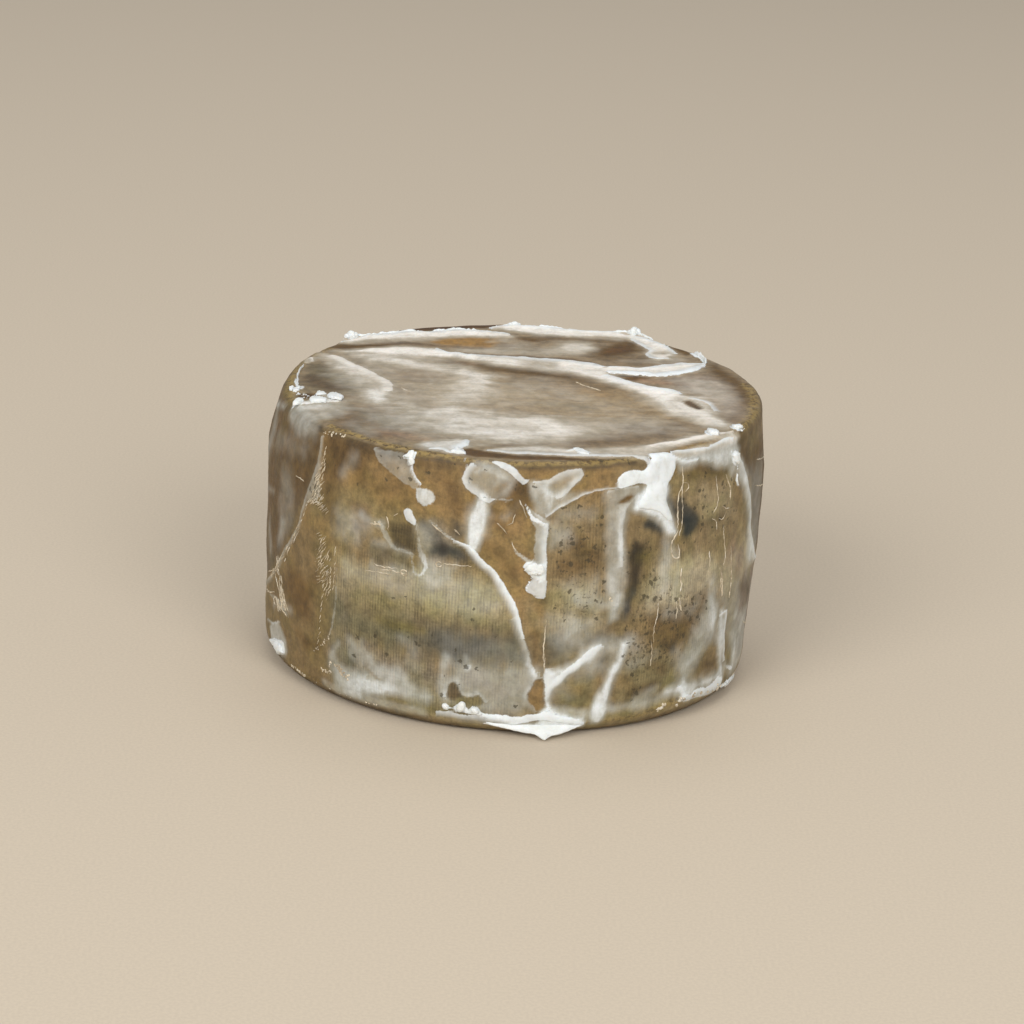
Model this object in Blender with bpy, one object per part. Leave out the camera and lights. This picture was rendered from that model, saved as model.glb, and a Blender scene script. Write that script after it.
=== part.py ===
"""Raw sheep milk cheese: one aged drum-shaped wheel, hand made and a little out of
true, with the ridges, smears, flakes and base flap of white lard that cover its rind.

Everything is one solid. All sizes below are millimetres; the mesh is written in metres.
A place on the side is (angle, height): angle 0 faces -Y, positive towards +X, in degrees.
A height beyond the side runs on over the rounded rim and inward across the top.
A place on the top is (x, y) about the wheel's axis.
"""
import math

import bmesh
import bpy
from mathutils import Vector

MM = 0.001

# The wheel
HEIGHT = 101.1
BASE_RADIUS = 88.2
BELLY_RADIUS = 90.0
TOP_RADIUS = 87.5
RIM_ROUND = 2.3
RIM_ROUND_LEFT = 3.4
BASE_ROUND = 6.9
OVAL_FRONT_BACK = -0.95
OVAL_DIAGONAL = 0.66
LEAN = 0.005
TOP_SLOPE_X = 0.018
TOP_SLOPE_Y = 0.016

# Dents and swellings of the side: angle, height, half-widths in degrees and mm, rise
SWELLS = (
    (-88, 80, 28, 8, 0.8),
    (-88, 97, 30, 7, -1.3),
    (-88, 54, 24, 9, -0.5),
    (-88, 28, 26, 8, -0.5),
    (-88, 1, 28, 6, 0.6),
    (85, 76, 26, 18, 0.85),
    (85, 18, 26, 16, -0.75),
)

# Mesh density
COLUMNS = 80
SIDE_ROWS = 12
ROUND_ROWS = 3
TOP_RINGS = 5
STATION_STEP = 4.0
ROOT_DEPTH = 1.1
END_SHARE = 0.35
SHARP_ANGLE = 35
WELD = 0.02

# Cross-section of a ridge of lard: place across its half-width, share of its thickness
RIDGE_SECTION = ((-0.78, 0.55), (-0.30, 1.0), (0.30, 1.0), (0.78, 0.55))

# Ridges and smears on the side: each stop is angle, height, half-width, thickness
SIDE_RIDGES = {
    "long_arc": ((-12, 71, 1.3, 0.9), (-8.5, 69, 1.7, 1.3), (-4, 62.5, 1.9, 1.4),
                 (0, 53.5, 2.2, 1.4), (2.4, 45, 2.0, 1.2), (3.8, 38, 1.5, 0.8),
                 (5.6, 30, 1.4, 0.7), (7.4, 24, 1.2, 0.6)),
    "middle_ridge": ((3.6, 96, 2.0, 0.8), (4.6, 90, 2.8, 1.0), (5.6, 84, 2.6, 1.1),
                     (6.6, 77, 2.4, 1.5), (7.0, 68, 2.4, 1.8), (5.8, 63, 3.2, 2.0),
                     (5.8, 57, 3.2, 1.7), (6.6, 52.5, 1.8, 0.9)),
    "ear_upper": ((5.5, 93, 1.4, 0.8), (9, 97.5, 1.4, 0.9), (13.4, 99.6, 1.5, 0.9),
                  (14.8, 96.5, 1.6, 0.9), (11.5, 91, 1.8, 1.0), (9.6, 89.3, 1.3, 0.7)),
    "ear_lower": ((7.6, 82.8, 1.2, 0.7), (11, 86.6, 1.7, 1.0), (16, 90.2, 1.4, 0.8),
                  (21, 91.6, 1.2, 0.7), (27, 92.2, 1.2, 0.7)),
    "bulb_left": ((-9.6, 101.5, 1.6, 0.7), (-11.6, 95.5, 1.6, 1.0), (-9.6, 90.5, 1.7, 1.0),
                  (-5.6, 87.3, 1.8, 1.0), (-1.6, 88.8, 1.1, 0.6)),
    "bulb_right": ((-6, 101.3, 1.5, 0.7), (-1.5, 99, 1.7, 0.9), (1.0, 95.6, 1.8, 1.0),
                   (3.6, 95.4, 1.2, 0.7)),
    "bulb_stem": ((-6.8, 88, 2.8, 0.8), (-8.0, 82, 3.0, 0.8), (-8.9, 76, 2.6, 0.8),
                  (-9.4, 71.5, 2.0, 0.8)),
    "upper_smear": ((-32.5, 101, 3.0, 0.5), (-28.5, 96, 3.4, 0.7), (-24.8, 91.5, 2.8, 0.9),
                    (-21.4, 87.4, 3.6, 1.2), (-19.8, 85.8, 2.6, 1.0)),
    "smear_edge": ((-24.6, 102.5, 1.4, 0.9), (-24.8, 99, 1.2, 1.2), (-23.2, 94.5, 1.0, 1.0),
                   (-20.6, 90.6, 1.2, 0.9)),
    "finger": ((-25.2, 80.2, 1.9, 0.8), (-24, 77, 1.7, 0.7), (-21.6, 74.5, 1.1, 0.6),
               (-20.6, 68, 1.1, 0.6), (-20.2, 61, 1.5, 0.7), (-21.4, 57.6, 1.2, 0.5)),
    "blob_stem": ((36.2, 107.5, 2.4, 0.7), (35.0, 103.5, 5.0, 1.2), (33.4, 98, 5.4, 1.9),
                  (32.4, 91, 4.6, 2.0), (33.2, 85, 4.4, 1.8), (35.4, 78, 3.6, 1.5),
                  (37.2, 72, 2.2, 1.0)),
    "blob_lobe": ((23.8, 95.6, 2.2, 1.0), (26.6, 95.2, 3.4, 1.4), (31, 95.6, 3.8, 1.7)),
    "blob_branch": ((32.6, 87.5, 2.2, 1.0), (28.6, 84.6, 2.0, 0.8), (25.6, 84.6, 1.8, 0.8)),
    "left_stream": ((22, 90.5, 2.4, 0.5), (23.4, 83, 2.8, 0.6), (24.4, 74, 2.6, 0.6),
                    (24.4, 62, 3.0, 0.6), (24.4, 51, 2.2, 0.5), (24, 44, 1.6, 0.4)),
    "rim_band": ((37, 101.2, 2.2, 1.1), (44, 99.0, 2.0, 0.9), (52, 98.4, 2.2, 0.9),
                 (58, 96.6, 2.8, 1.2), (60.6, 91, 2.2, 1.2), (61.2, 86, 1.3, 1.3),
                 (61.6, 82, 1.0, 0.8)),
    "right_line": ((61.5, 91, 1.8, 0.9), (65, 83, 2.2, 0.9), (68, 73, 2.0, 0.9),
                   (69.6, 62, 2.0, 0.8), (73, 55, 2.6, 0.8), (78, 48, 2.6, 0.7),
                   (85, 43, 1.8, 0.6)),
    "base_scallops_left": ((-13, 11.2, 1.6, 0.8), (-9.6, 9.6, 2.6, 1.5), (-5.6, 8.8, 2.8, 1.6),
                           (-1, 7.6, 2.8, 1.5), (3, 7.2, 2.4, 1.2)),
    "base_scallops_right": ((1.5, 7.4, 2.2, 1.2), (7, 8.0, 2.6, 1.5), (12, 8.4, 2.8, 1.4),
                            (16, 7.2, 2.4, 1.2), (19, 6.4, 1.6, 0.8)),
    "cloth_edge_upper": ((-52, 100.5, 0.9, 0.5), (-51.8, 93, 1.5, 0.8), (-52.4, 86, 2.0, 1.0),
                         (-53.6, 77.5, 2.6, 1.1), (-57, 70, 1.3, 0.8)),
    "cloth_edge_lower": ((-56, 71.5, 1.3, 0.8), (-59, 61, 1.4, 0.8), (-62, 53.5, 1.5, 0.8),
                         (-66.5, 45.5, 1.8, 0.8), (-71.5, 38, 1.8, 0.8), (-78, 31, 1.8, 0.7)),
    "low_left_flake": ((-75, 10.4, 2.0, 0.8), (-70, 12.6, 3.4, 1.1), (-65, 12.2, 2.6, 0.9)),
    "low_left_film": ((-41, 14.5, 2.4, 0.6), (-35, 12.6, 5.0, 0.6), (-28, 10.5, 4.6, 0.5),
                      (-22, 9, 2.6, 0.4)),
    "diagonal_a": ((9.6, 21, 2.2, 0.6), (13.4, 24, 2.8, 0.6), (18, 29.5, 2.2, 0.5),
                   (24, 34, 2.8, 0.5), (30, 36, 2.2, 0.4)),
    "diagonal_b": ((22.4, 11, 2.4, 0.6), (23.6, 19, 2.0, 0.6), (26, 28, 2.2, 0.5),
                   (28, 34, 2.0, 0.4)),
    "right_streak": ((57.2, 35, 1.6, 0.7), (57.8, 29, 2.6, 0.8), (59, 20, 2.4, 0.7),
                     (60.6, 11, 1.8, 0.6)),
    "low_right_flake": ((60, 9.6, 1.4, 0.6), (65.5, 7, 2.2, 0.9), (71, 4.6, 2.0, 0.9)),
}

# Ridges and smears on the top: each stop is x, y, half-width, thickness
TOP_RIDGES = {
    "back_rim_left": ((-68.5, 51.5, 1.6, 1.0), (-64.5, 57.5, 4.4, 1.6), (-54, 60.5, 4.0, 1.4),
                      (-40, 66, 3.6, 1.2), (-24, 71.5, 4.0, 1.1), (-12, 72, 3.6, 0.9),
                      (-3, 68.6, 2.4, 0.6)),
    "back_rim_right": ((-12.5, 79.5, 2.0, 1.2), (0, 78.6, 4.4, 1.6), (15, 76, 3.6, 1.3),
                       (30, 74.6, 3.0, 1.1), (41, 73.4, 3.6, 1.6), (49, 67, 4.6, 1.5),
                       (55, 59.5, 4.6, 1.2), (55.5, 50, 4.6, 1.1)),
    "main_diagonal_left": ((-77, 39.5, 1.6, 0.7), (-62, 39.6, 4.6, 0.9), (-44, 39.6, 8.0, 1.1),
                           (-26, 38.6, 6.6, 1.0), (0, 34.0, 5.6, 1.2), (18, 30, 6.4, 1.3),
                           (30, 24, 5.4, 1.2)),
    "main_diagonal_right": ((22, 27.5, 5.6, 1.1), (33, 20.5, 5.0, 1.1), (44, 8.5, 5.0, 1.1),
                            (54, -1, 5.4, 1.0), (58.5, -14, 4.6, 0.9), (65, -24.5, 5.4, 0.9),
                            (72.5, -34.5, 4.4, 0.8)),
    "hollow_edge": ((55, -1, 2.6, 0.8), (63.5, -4.5, 2.4, 0.8), (69.5, -12, 2.4, 0.8),
                    (69.5, -22, 2.6, 0.7)),
    "branch": ((31, 28, 3.4, 1.1), (42, 27.4, 4.2, 1.3), (54, 29, 4.6, 1.3),
               (64, 33.6, 4.6, 1.2), (69.2, 40, 1.8, 0.9)),
    "curl": ((69.3, 38, 0.9, 0.8), (70, 44, 1.3, 1.6), (67.4, 50, 1.7, 2.4), (65.6, 54, 1.0, 1.2)),
    "fan": ((-75, 36.5, 1.6, 0.5), (-66, 26, 3.4, 0.6), (-56.5, 11, 4.2, 0.6),
            (-53.5, -6, 4.8, 0.6), (-53, -20, 3.4, 0.4)),
    "left_rim_flake": ((-81, 23, 1.0, 1.0), (-81.4, 12, 1.1, 1.5), (-80.6, -1, 1.0, 1.1),
                       (-79.6, -9.5, 1.0, 0.8)),
    "left_crisp_flakes": ((-79, -27, 1.8, 1.2), (-73, -24.5, 2.4, 1.7), (-67, -21.6, 2.8, 2.0),
                          (-62.5, -19.6, 1.4, 1.2)),
    "front_notch_flake": ((-33, -69.5, 1.8, 0.6), (-26, -70, 3.6, 1.1), (-19, -69, 4.2, 1.3),
                          (-16, -65.5, 2.0, 0.9)),
    "front_wedge": ((-9, -73.5, 1.2, 0.8), (2, -71.6, 3.4, 1.2), (16, -71.5, 3.8, 1.2),
                    (30, -69.6, 3.6, 1.1), (45, -66, 3.8, 1.0), (60, -55, 3.4, 0.8),
                    (70, -46, 2.4, 0.8)),
    "right_flake": ((66.8, -45.5, 1.6, 1.3), (69, -46, 2.6, 2.0), (71.2, -46.4, 1.6, 1.4)),
    "right_rim_flake": ((76, -36, 1.0, 0.8), (78.6, -36.6, 1.6, 1.4), (79.6, -40, 1.0, 0.8)),
}

# Points of lard that stand up from the rim: x, y, radius at the root, height
SPIKES = (
    (-66.0, 58.5, 2.4, 1.9),
    (-3.2, 81.5, 1.6, 1.0),
    (43.6, 76.0, 2.6, 1.8),
)

# The flap of lard that hangs out from under the front: angle, reach of the lip, its height
FLAP_STOPS = ((-4.0, 87.4, 4.4), (1.0, 88.6, 3.4), (5.0, 89.6, 2.3), (10.0, 92.0, 0.5),
              (14.0, 90.2, 2.0), (20.5, 87.4, 4.5))
FLAP_LIP = 0.9
FLAP_ROOT = (83.0, 2.0, 6.0)
FLAP_SHOULDER = (87.5, 5.3)

RIND_COLOUR = (0.30, 0.22, 0.12, 1.0)
RIND_ROUGHNESS = 0.6


def turn(point, s):
    """Moves a point of the plain turned wheel to its place on the real, uneven one.
    s runs from 0 at the base to 1 at the top."""
    x, y, z = point
    return Vector((x + LEAN * z, y, z + s * (TOP_SLOPE_X * x + TOP_SLOPE_Y * y)))


def side_radius(angle, z):
    """Radius of the side: a shallow barrel, slightly oval, with its dents and swellings."""
    t = 2 * z / HEIGHT - 1
    ends = 0.5 * (BASE_RADIUS + TOP_RADIUS)
    radius = BELLY_RADIUS + 0.5 * (TOP_RADIUS - BASE_RADIUS) * t + (ends - BELLY_RADIUS) * t * t
    twice = math.radians(2 * angle)
    radius += OVAL_FRONT_BACK * math.cos(twice) + OVAL_DIAGONAL * math.sin(twice)
    for at_angle, at_z, wide, high, rise in SWELLS:
        off = (angle - at_angle + 180) % 360 - 180
        radius += rise * math.exp(-(off / wide) ** 2 - ((z - at_z) / high) ** 2)
    return radius


def rim_round(angle):
    """The rim is rounder on the left, where it has been handled."""
    off = (angle + 84 + 180) % 360 - 180
    return RIM_ROUND + RIM_ROUND_LEFT * math.exp(-(off / 34) ** 2)


def skin(angle, height):
    """Point of the rind at an angle and a height run over base edge, side, rim and top."""
    rim = rim_round(angle)
    if height < BASE_ROUND:
        bend = min((BASE_ROUND - height) / BASE_ROUND, math.pi / 2)
        z = BASE_ROUND * (1 - math.sin(bend))
        radius = side_radius(angle, z) - BASE_ROUND * (1 - math.cos(bend))
    elif height > HEIGHT - rim:
        bend = (height - (HEIGHT - rim)) / rim
        inward = max(bend - math.pi / 2, 0) * rim
        bend = min(bend, math.pi / 2)
        z = HEIGHT - rim * (1 - math.sin(bend))
        radius = side_radius(angle, z) - rim * (1 - math.cos(bend)) - inward
    else:
        z = height
        radius = side_radius(angle, z)
    a = math.radians(angle)
    return turn((radius * math.sin(a), -radius * math.cos(a), z), z / HEIGHT)


def crown(x, y):
    """Point of the top face above (x, y)."""
    return turn((x, y, HEIGHT), 1.0)


def on_side(stop, across, along, offset):
    """Place on the side that lies offset mm to the left of a path's heading."""
    per_degree = math.radians(BELLY_RADIUS)
    return stop[0] - along * offset / per_degree, stop[1] + across * offset


def on_top(stop, across, along, offset):
    return stop[0] - along * offset, stop[1] + across * offset


def smooth_stops(stops, per_unit):
    """Catmull-Rom curve through the stops, about STATION_STEP between stations."""
    rows = []
    last = len(stops) - 1
    for i in range(last):
        a, b, c, d = (stops[max(i - 1, 0)], stops[i], stops[i + 1], stops[min(i + 2, last)])
        run = math.hypot((c[0] - b[0]) * per_unit, c[1] - b[1])
        count = max(int(run / STATION_STEP + 0.5), 1)
        for k in range(count):
            t = k / count
            row = []
            for p, q, r, s in zip(a, b, c, d):
                bend = (2 * p - 5 * q + 4 * r - s) * t * t + (3 * q - p - 3 * r + s) * t ** 3
                row.append(0.5 * (2 * q + (r - p) * t + bend))
            rows.append(row)
    rows.append(list(stops[-1]))
    return rows


def facing(surface, u, v, du, dv):
    """Outward normal of a surface by small steps of its two coordinates."""
    here = surface(u, v)
    return (surface(u + du, v) - here).cross(surface(u, v + dv) - here).normalized()


def new_object(name, bm, collection):
    bmesh.ops.recalc_face_normals(bm, faces=bm.faces)
    mesh = bpy.data.meshes.new(name)
    bm.to_mesh(mesh)
    bm.free()
    obj = bpy.data.objects.new(name, mesh)
    collection.objects.link(obj)
    return obj


def loft(bm, rings):
    """Closed solid through rings of points of one count, with both ends closed."""
    loops = [[bm.verts.new(point) for point in ring] for ring in rings]
    for one, two in zip(loops, loops[1:]):
        for i, vertex in enumerate(one):
            j = (i + 1) % len(one)
            bm.faces.new((vertex, one[j], two[j], two[i]))
    bm.faces.new(loops[0][::-1])
    bm.faces.new(loops[-1])


def make_ridge(name, stops, surface, place, per_unit, steps, collection):
    """A ridge of lard: a low domed strip that follows its path and roots in the rind."""
    rows = smooth_stops(stops, per_unit)
    last = len(rows) - 1
    rings = []
    for i, row in enumerate(rows):
        ahead, behind = rows[min(i + 1, last)], rows[max(i - 1, 0)]
        across = (ahead[0] - behind[0]) * per_unit
        along = ahead[1] - behind[1]
        length = math.hypot(across, along)
        across, along = across / length, along / length
        end = END_SHARE if i in (0, last) else 1.0
        half, thick = row[2] * end, row[3] * end
        ring = []
        for share, lift in ((-1.0, None), *RIDGE_SECTION, (1.0, None), (0.0, None)):
            u, v = place(row, across, along, share * half)
            out = facing(surface, u, v, *steps)
            depth = -ROOT_DEPTH if abs(share) == 1.0 else -1.6 * ROOT_DEPTH
            ring.append((surface(u, v) + out * (depth if lift is None else lift * thick)) * MM)
        rings.append(ring)
    bm = bmesh.new()
    loft(bm, rings)
    return new_object(name, bm, collection)


def make_spike(name, x, y, radius, height, collection):
    bm = bmesh.new()
    bmesh.ops.create_cone(bm, cap_ends=True, segments=7, radius1=radius * MM,
                          radius2=0.25 * radius * MM, depth=(height + 2) * MM)
    at = crown(x, y) + Vector((0, 0, 0.5 * (height + 2) - 2))
    bmesh.ops.translate(bm, verts=bm.verts, vec=at * MM)
    return new_object(name, bm, collection)


def make_flap(collection):
    """The flap: a slanting sheet from the base edge out to a thin pointed lip."""
    rings = []
    root, root_low, root_high = FLAP_ROOT
    for angle, reach, lip in smooth_stops(FLAP_STOPS, math.radians(BELLY_RADIUS)):
        a = math.radians(angle)
        out = Vector((math.sin(a), -math.cos(a), 0))
        rings.append([(out * radius + Vector((0, 0, z))) * MM for radius, z in (
            (root, root_low), (root, root_high), FLAP_SHOULDER,
            (reach, lip + FLAP_LIP), (reach - 0.3, lip))])
    bm = bmesh.new()
    loft(bm, rings)
    return new_object("flap", bm, collection)


def make_wheel(collection):
    """Spins the wheel's half profile and moves each ring of it to the uneven surface."""
    heights = [BASE_ROUND * (1 - math.pi / 2 * (1 - k / ROUND_ROWS)) for k in range(ROUND_ROWS)]
    middle = HEIGHT - RIM_ROUND - RIM_ROUND_LEFT - BASE_ROUND
    heights += [BASE_ROUND + middle * k / SIDE_ROWS for k in range(SIDE_ROWS + 1)]
    bm = bmesh.new()
    profile = [bm.verts.new((BELLY_RADIUS, 0, k)) for k in range(len(heights) + ROUND_ROWS)]
    edges = [bm.edges.new(pair) for pair in zip(profile, profile[1:])]
    bmesh.ops.spin(bm, geom=profile + edges, cent=(0, 0, 0), axis=(0, 0, 1),
                   angle=2 * math.pi, steps=COLUMNS, use_merge=True)
    for vertex in bm.verts:
        angle = math.degrees(math.atan2(vertex.co.x, -vertex.co.y))
        row = round(vertex.co.z)
        if row < len(heights):
            vertex.co = skin(angle, heights[row])
        else:
            rim = rim_round(angle)
            share = (row - len(heights) + 1) / ROUND_ROWS
            vertex.co = skin(angle, HEIGHT - rim * (1 - math.pi / 2 * share))
    open_rings = [edge for edge in bm.edges if edge.is_boundary]
    top_edges = [edge for edge in open_rings if edge.verts[0].co.z > HEIGHT / 2]
    base_edges = [edge for edge in open_rings if edge.verts[0].co.z < HEIGHT / 2]
    base_face = bmesh.ops.contextual_create(bm, geom=base_edges)["faces"][0]
    bmesh.ops.poke(bm, faces=[base_face])
    inner = bmesh.ops.contextual_create(bm, geom=top_edges)["faces"][0]
    for ring in range(TOP_RINGS):
        bmesh.ops.inset_individual(bm, faces=[inner], thickness=TOP_RADIUS / (TOP_RINGS + 1.5))
    bmesh.ops.poke(bm, faces=[inner])
    for vertex in bm.verts:
        if vertex.co.z < 1e-4:
            vertex.co.z = 0
    bmesh.ops.scale(bm, verts=bm.verts, vec=(MM, MM, MM))
    return new_object("cheese_wheel", bm, collection)


def fuse(wheel, pieces):
    """One Boolean union joins the lard to the wheel; the loose pieces then go."""
    union = wheel.modifiers.new("lard", "BOOLEAN")
    union.operation = "UNION"
    union.solver = "MANIFOLD"
    union.operand_type = "COLLECTION"
    union.collection = pieces
    bpy.context.view_layer.update()
    joined = bpy.data.meshes.new_from_object(wheel.evaluated_get(
        bpy.context.evaluated_depsgraph_get()))
    wheel.modifiers.clear()
    wheel.data = joined
    for piece in list(pieces.objects):
        bpy.data.objects.remove(piece, do_unlink=True)
    bpy.data.collections.remove(pieces)


def drop_scraps(bm):
    """Keeps the largest body whose faces meet edge to edge. Scraps and the walls of any
    pocket shut in between crossing ridges go, which fills the pocket."""
    unseen = set(bm.faces)
    bodies = []
    while unseen:
        stack = [unseen.pop()]
        body = set(stack)
        while stack:
            for edge in stack.pop().edges:
                for face in edge.link_faces:
                    if face in unseen:
                        unseen.remove(face)
                        body.add(face)
                        stack.append(face)
        bodies.append(body)
    bodies.sort(key=len)
    for body in bodies[:-1]:
        bmesh.ops.delete(bm, geom=list(body), context="FACES")


def settle(wheel):
    """Cleans the joined mesh and stands it on the origin, centred on its bounding box."""
    bm = bmesh.new()
    bm.from_mesh(wheel.data)
    bmesh.ops.remove_doubles(bm, verts=bm.verts, dist=WELD * MM)
    bmesh.ops.dissolve_degenerate(bm, edges=bm.edges, dist=WELD * MM)
    bmesh.ops.triangulate(bm, faces=bm.faces)
    drop_scraps(bm)
    low = [min(vertex.co[i] for vertex in bm.verts) for i in range(3)]
    high = [max(vertex.co[i] for vertex in bm.verts) for i in range(3)]
    shift = Vector((-(low[0] + high[0]) / 2, -(low[1] + high[1]) / 2, -low[2]))
    bmesh.ops.translate(bm, verts=bm.verts, vec=shift)
    bm.to_mesh(wheel.data)
    bm.free()
    return shift


def give_material(obj):
    material = bpy.data.materials.new("larded_rind")
    material.use_nodes = True
    shader = material.node_tree.nodes["Principled BSDF"]
    shader.inputs["Base Color"].default_value = RIND_COLOUR
    shader.inputs["Roughness"].default_value = RIND_ROUGHNESS
    shader.inputs["Metallic"].default_value = 0.0
    obj.data.materials.clear()
    obj.data.materials.append(material)


def main():
    for obj in list(bpy.data.objects):
        bpy.data.objects.remove(obj, do_unlink=True)
    scene_objects = bpy.context.scene.collection
    pieces = bpy.data.collections.new("lard_pieces")
    scene_objects.children.link(pieces)
    wheel = make_wheel(scene_objects)
    per_degree = math.radians(BELLY_RADIUS)
    for name, stops in SIDE_RIDGES.items():
        make_ridge(name, stops, skin, on_side, per_degree, (0.4, 0.4), pieces)
    for name, stops in TOP_RIDGES.items():
        make_ridge(name, stops, crown, on_top, 1.0, (1.0, 1.0), pieces)
    for i, spike in enumerate(SPIKES):
        make_spike(f"spike_{i}", *spike, pieces)
    make_flap(pieces)
    fuse(wheel, pieces)
    shift = settle(wheel)
    give_material(wheel)
    wheel.data.shade_smooth()
    wheel.data.set_sharp_from_angle(angle=math.radians(SHARP_ANGLE))
    return shift


main()
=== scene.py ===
"""Looks of the raw sheep milk cheese: its larded, cloth-marked rind as one fine skin, with
the threads, flakes and base flap of lard that stand on it, a pale floor and soft light."""
import math

import bpy
import numpy as np
from mathutils import Matrix, Vector
from mathutils.kdtree import KDTree


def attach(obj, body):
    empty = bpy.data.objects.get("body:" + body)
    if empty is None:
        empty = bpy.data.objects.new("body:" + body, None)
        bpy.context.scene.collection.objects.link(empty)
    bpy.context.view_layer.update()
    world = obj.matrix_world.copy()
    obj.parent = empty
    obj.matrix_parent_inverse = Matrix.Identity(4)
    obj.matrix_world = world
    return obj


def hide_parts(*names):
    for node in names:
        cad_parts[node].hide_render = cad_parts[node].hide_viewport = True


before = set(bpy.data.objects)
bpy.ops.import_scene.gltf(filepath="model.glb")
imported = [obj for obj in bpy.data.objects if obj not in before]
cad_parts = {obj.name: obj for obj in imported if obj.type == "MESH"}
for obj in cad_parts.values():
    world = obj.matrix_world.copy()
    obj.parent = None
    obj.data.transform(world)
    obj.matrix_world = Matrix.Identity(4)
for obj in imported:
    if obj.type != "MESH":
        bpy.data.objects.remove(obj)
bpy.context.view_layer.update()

MM = 0.001

# The wheel, in millimetres, as in the solid
HEIGHT = 101.1
BASE_RADIUS = 88.2
BELLY_RADIUS = 90.0
TOP_RADIUS = 87.5
RIM_ROUND = 2.3
RIM_ROUND_LEFT = 3.4
BASE_ROUND = 6.9
OVAL_FRONT_BACK = -0.95
OVAL_DIAGONAL = 0.66
LEAN = 0.005
TOP_SLOPE = (0.018, 0.016)
AXIS_AT = np.array((-0.49, 0.773, 0.0))
SWELLS = (
    (-88, 80, 28, 8, 0.8), (-88, 97, 30, 7, -1.3), (-88, 54, 24, 9, -0.5),
    (-88, 28, 26, 8, -0.5), (-88, 1, 28, 6, 0.6), (85, 76, 26, 18, 0.85),
    (85, 18, 26, 16, -0.75),
)
PER_DEGREE = math.radians(BELLY_RADIUS)

# Height given to the underside, below all that is painted
UNDERSIDE = -40.0

# Paint and coats: the value of a vertex no coat reaches, how far smoke bends a soft edge, how
# far beyond a shape its distance is taken, over what width a coat rises to its thickness, and
# how strong the cloth ribs are where nothing sets them
BARE = -4.0
SMOKE_BEND = 0.55
SOFT_REACH = 1.7
COAT_REACH = 4.0
GAP_REACH = 3.0
COAT_RUN = {"lard": 1.5, "film": 1.6}
RIB_BASE = 0.12

# The flap of lard that hangs out from under the front: angle, reach of the lip, its height
FLAP_STOPS = ((-4.0, 87.4, 4.4), (1.0, 88.6, 3.4), (5.0, 89.4, 2.4), (7.8, 89.9, 1.9),
              (9.0, 91.0, 1.0), (10.0, 91.9, 0.5), (11.2, 90.6, 1.4), (14.0, 89.9, 2.1),
              (20.5, 87.4, 4.5))
FLAP_ROOT = (83.0, 2.0, 6.0)
FLAP_SHOULDER = (87.5, 5.3)
FLAP_LIMIT = 91.95

# Points of lard on the back rim: place, radius, height; then the lumps that make up each:
# the step aside, and the shares and extra of its radius and height
SPIKES = ((-66.0, 60.5, 2.0, 1.9), (-3.2, 82.4, 1.4, 1.0), (43.6, 77.4, 2.0, 1.8))
SPIKE_LUMPS = ((0, 0, 0.78, 1, 0.4), (1.5, 0.3, 0.6, 0.6, 0.3), (-1.6, -0.4, 0.45, 0.4, 0.3))

# Rounded lobes of lard along the base: angle, height, size
LOBES = ((-12.7, 9.6, 1.1), (-9.1, 10.3, 1.5), (-5.9, 9.6, 1.2))

# How brightly the studio light falls on the side and on the top, and the sheen it leaves
# there; both are taken out of the colours. Then the darkest colour kept, how far the side
# goes to grey, and how much red, green and blue the top gains
SIDE_LIGHT = 1.085
TOP_LIGHT = 1.08
SIDE_SHEEN = 0.007
TOP_SHEEN = 0.030
DARKEST = 0.008
SIDE_GREYING = 0.03
TOP_WARMTH = (0.26, 0.17, 0.12)

# Fineness of the skin
FRONT_COLUMNS = 370
BACK_COLUMNS = 110
FRONT_SPAN = 196.0
SIDE_ROWS = 112
ROUND_ROWS = 6
TOP_GRID = 176

# Camera: lens, sensor and distance in mm, tilts in degrees, and where it aims
LENS = 100.0
SENSOR = 36.0
DISTANCE = 1057.3
PITCH = 18.585
ROLL = 3.103
AIM_HEIGHT = 52.94
NUDGE = (0.18, 0.30)

# Studio: the floor's half-width and its two tones, the strength of the sky, and the lamps'
# width and aim, with the place in metres and the power in watts of each
FLOOR_HALF = 6.0
FLOOR_DARK = (0.60, 0.51, 0.395, 1)
FLOOR_PALE = (0.645, 0.55, 0.425, 1)
SKY = 0.44
LAMP_WIDTH = 1.8
LAMP_AIM = (0, 0, 0.05)
LAMPS = {"key_left": ((-1.5, -2.3, 1.8), 50), "key_right": ((1.3, -2.4, 1.8), 41),
         "top": ((0.1, 0.8, 2.8), 12)}


# Colours, as seen on a screen
PALETTE = {
    "rind": (134, 114, 79), "umber": (104, 79, 45), "bark": (90, 72, 46),
    "ochre": (144, 116, 72), "amber": (147, 119, 76), "tan": (147, 128, 94),
    "straw": (160, 145, 108), "sand": (184, 170, 138),
    "olive": (130, 119, 84), "moss": (120, 105, 56), "taupe": (110, 95, 73),
    "stone": (138, 126, 105), "ash": (106, 99, 80), "slate": (72, 71, 67),
    "soot": (54, 46, 34), "lilac": (138, 126, 114), "rose": (152, 126, 104),
    "plum": (94, 80, 64), "ink": (50, 54, 54), "russet": (110, 78, 28),
}


def linear(rgb):
    c = np.asarray(rgb, float) / 255
    return np.where(c <= 0.04045, c / 12.92, ((c + 0.055) / 1.055) ** 2.4)


def numbers(text):
    """Reads 'a,b,c d,e,f' into rows of numbers."""
    return np.array([[float(n) for n in stop.split(",")] for stop in text.split()])


# Form of the wheel

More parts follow.
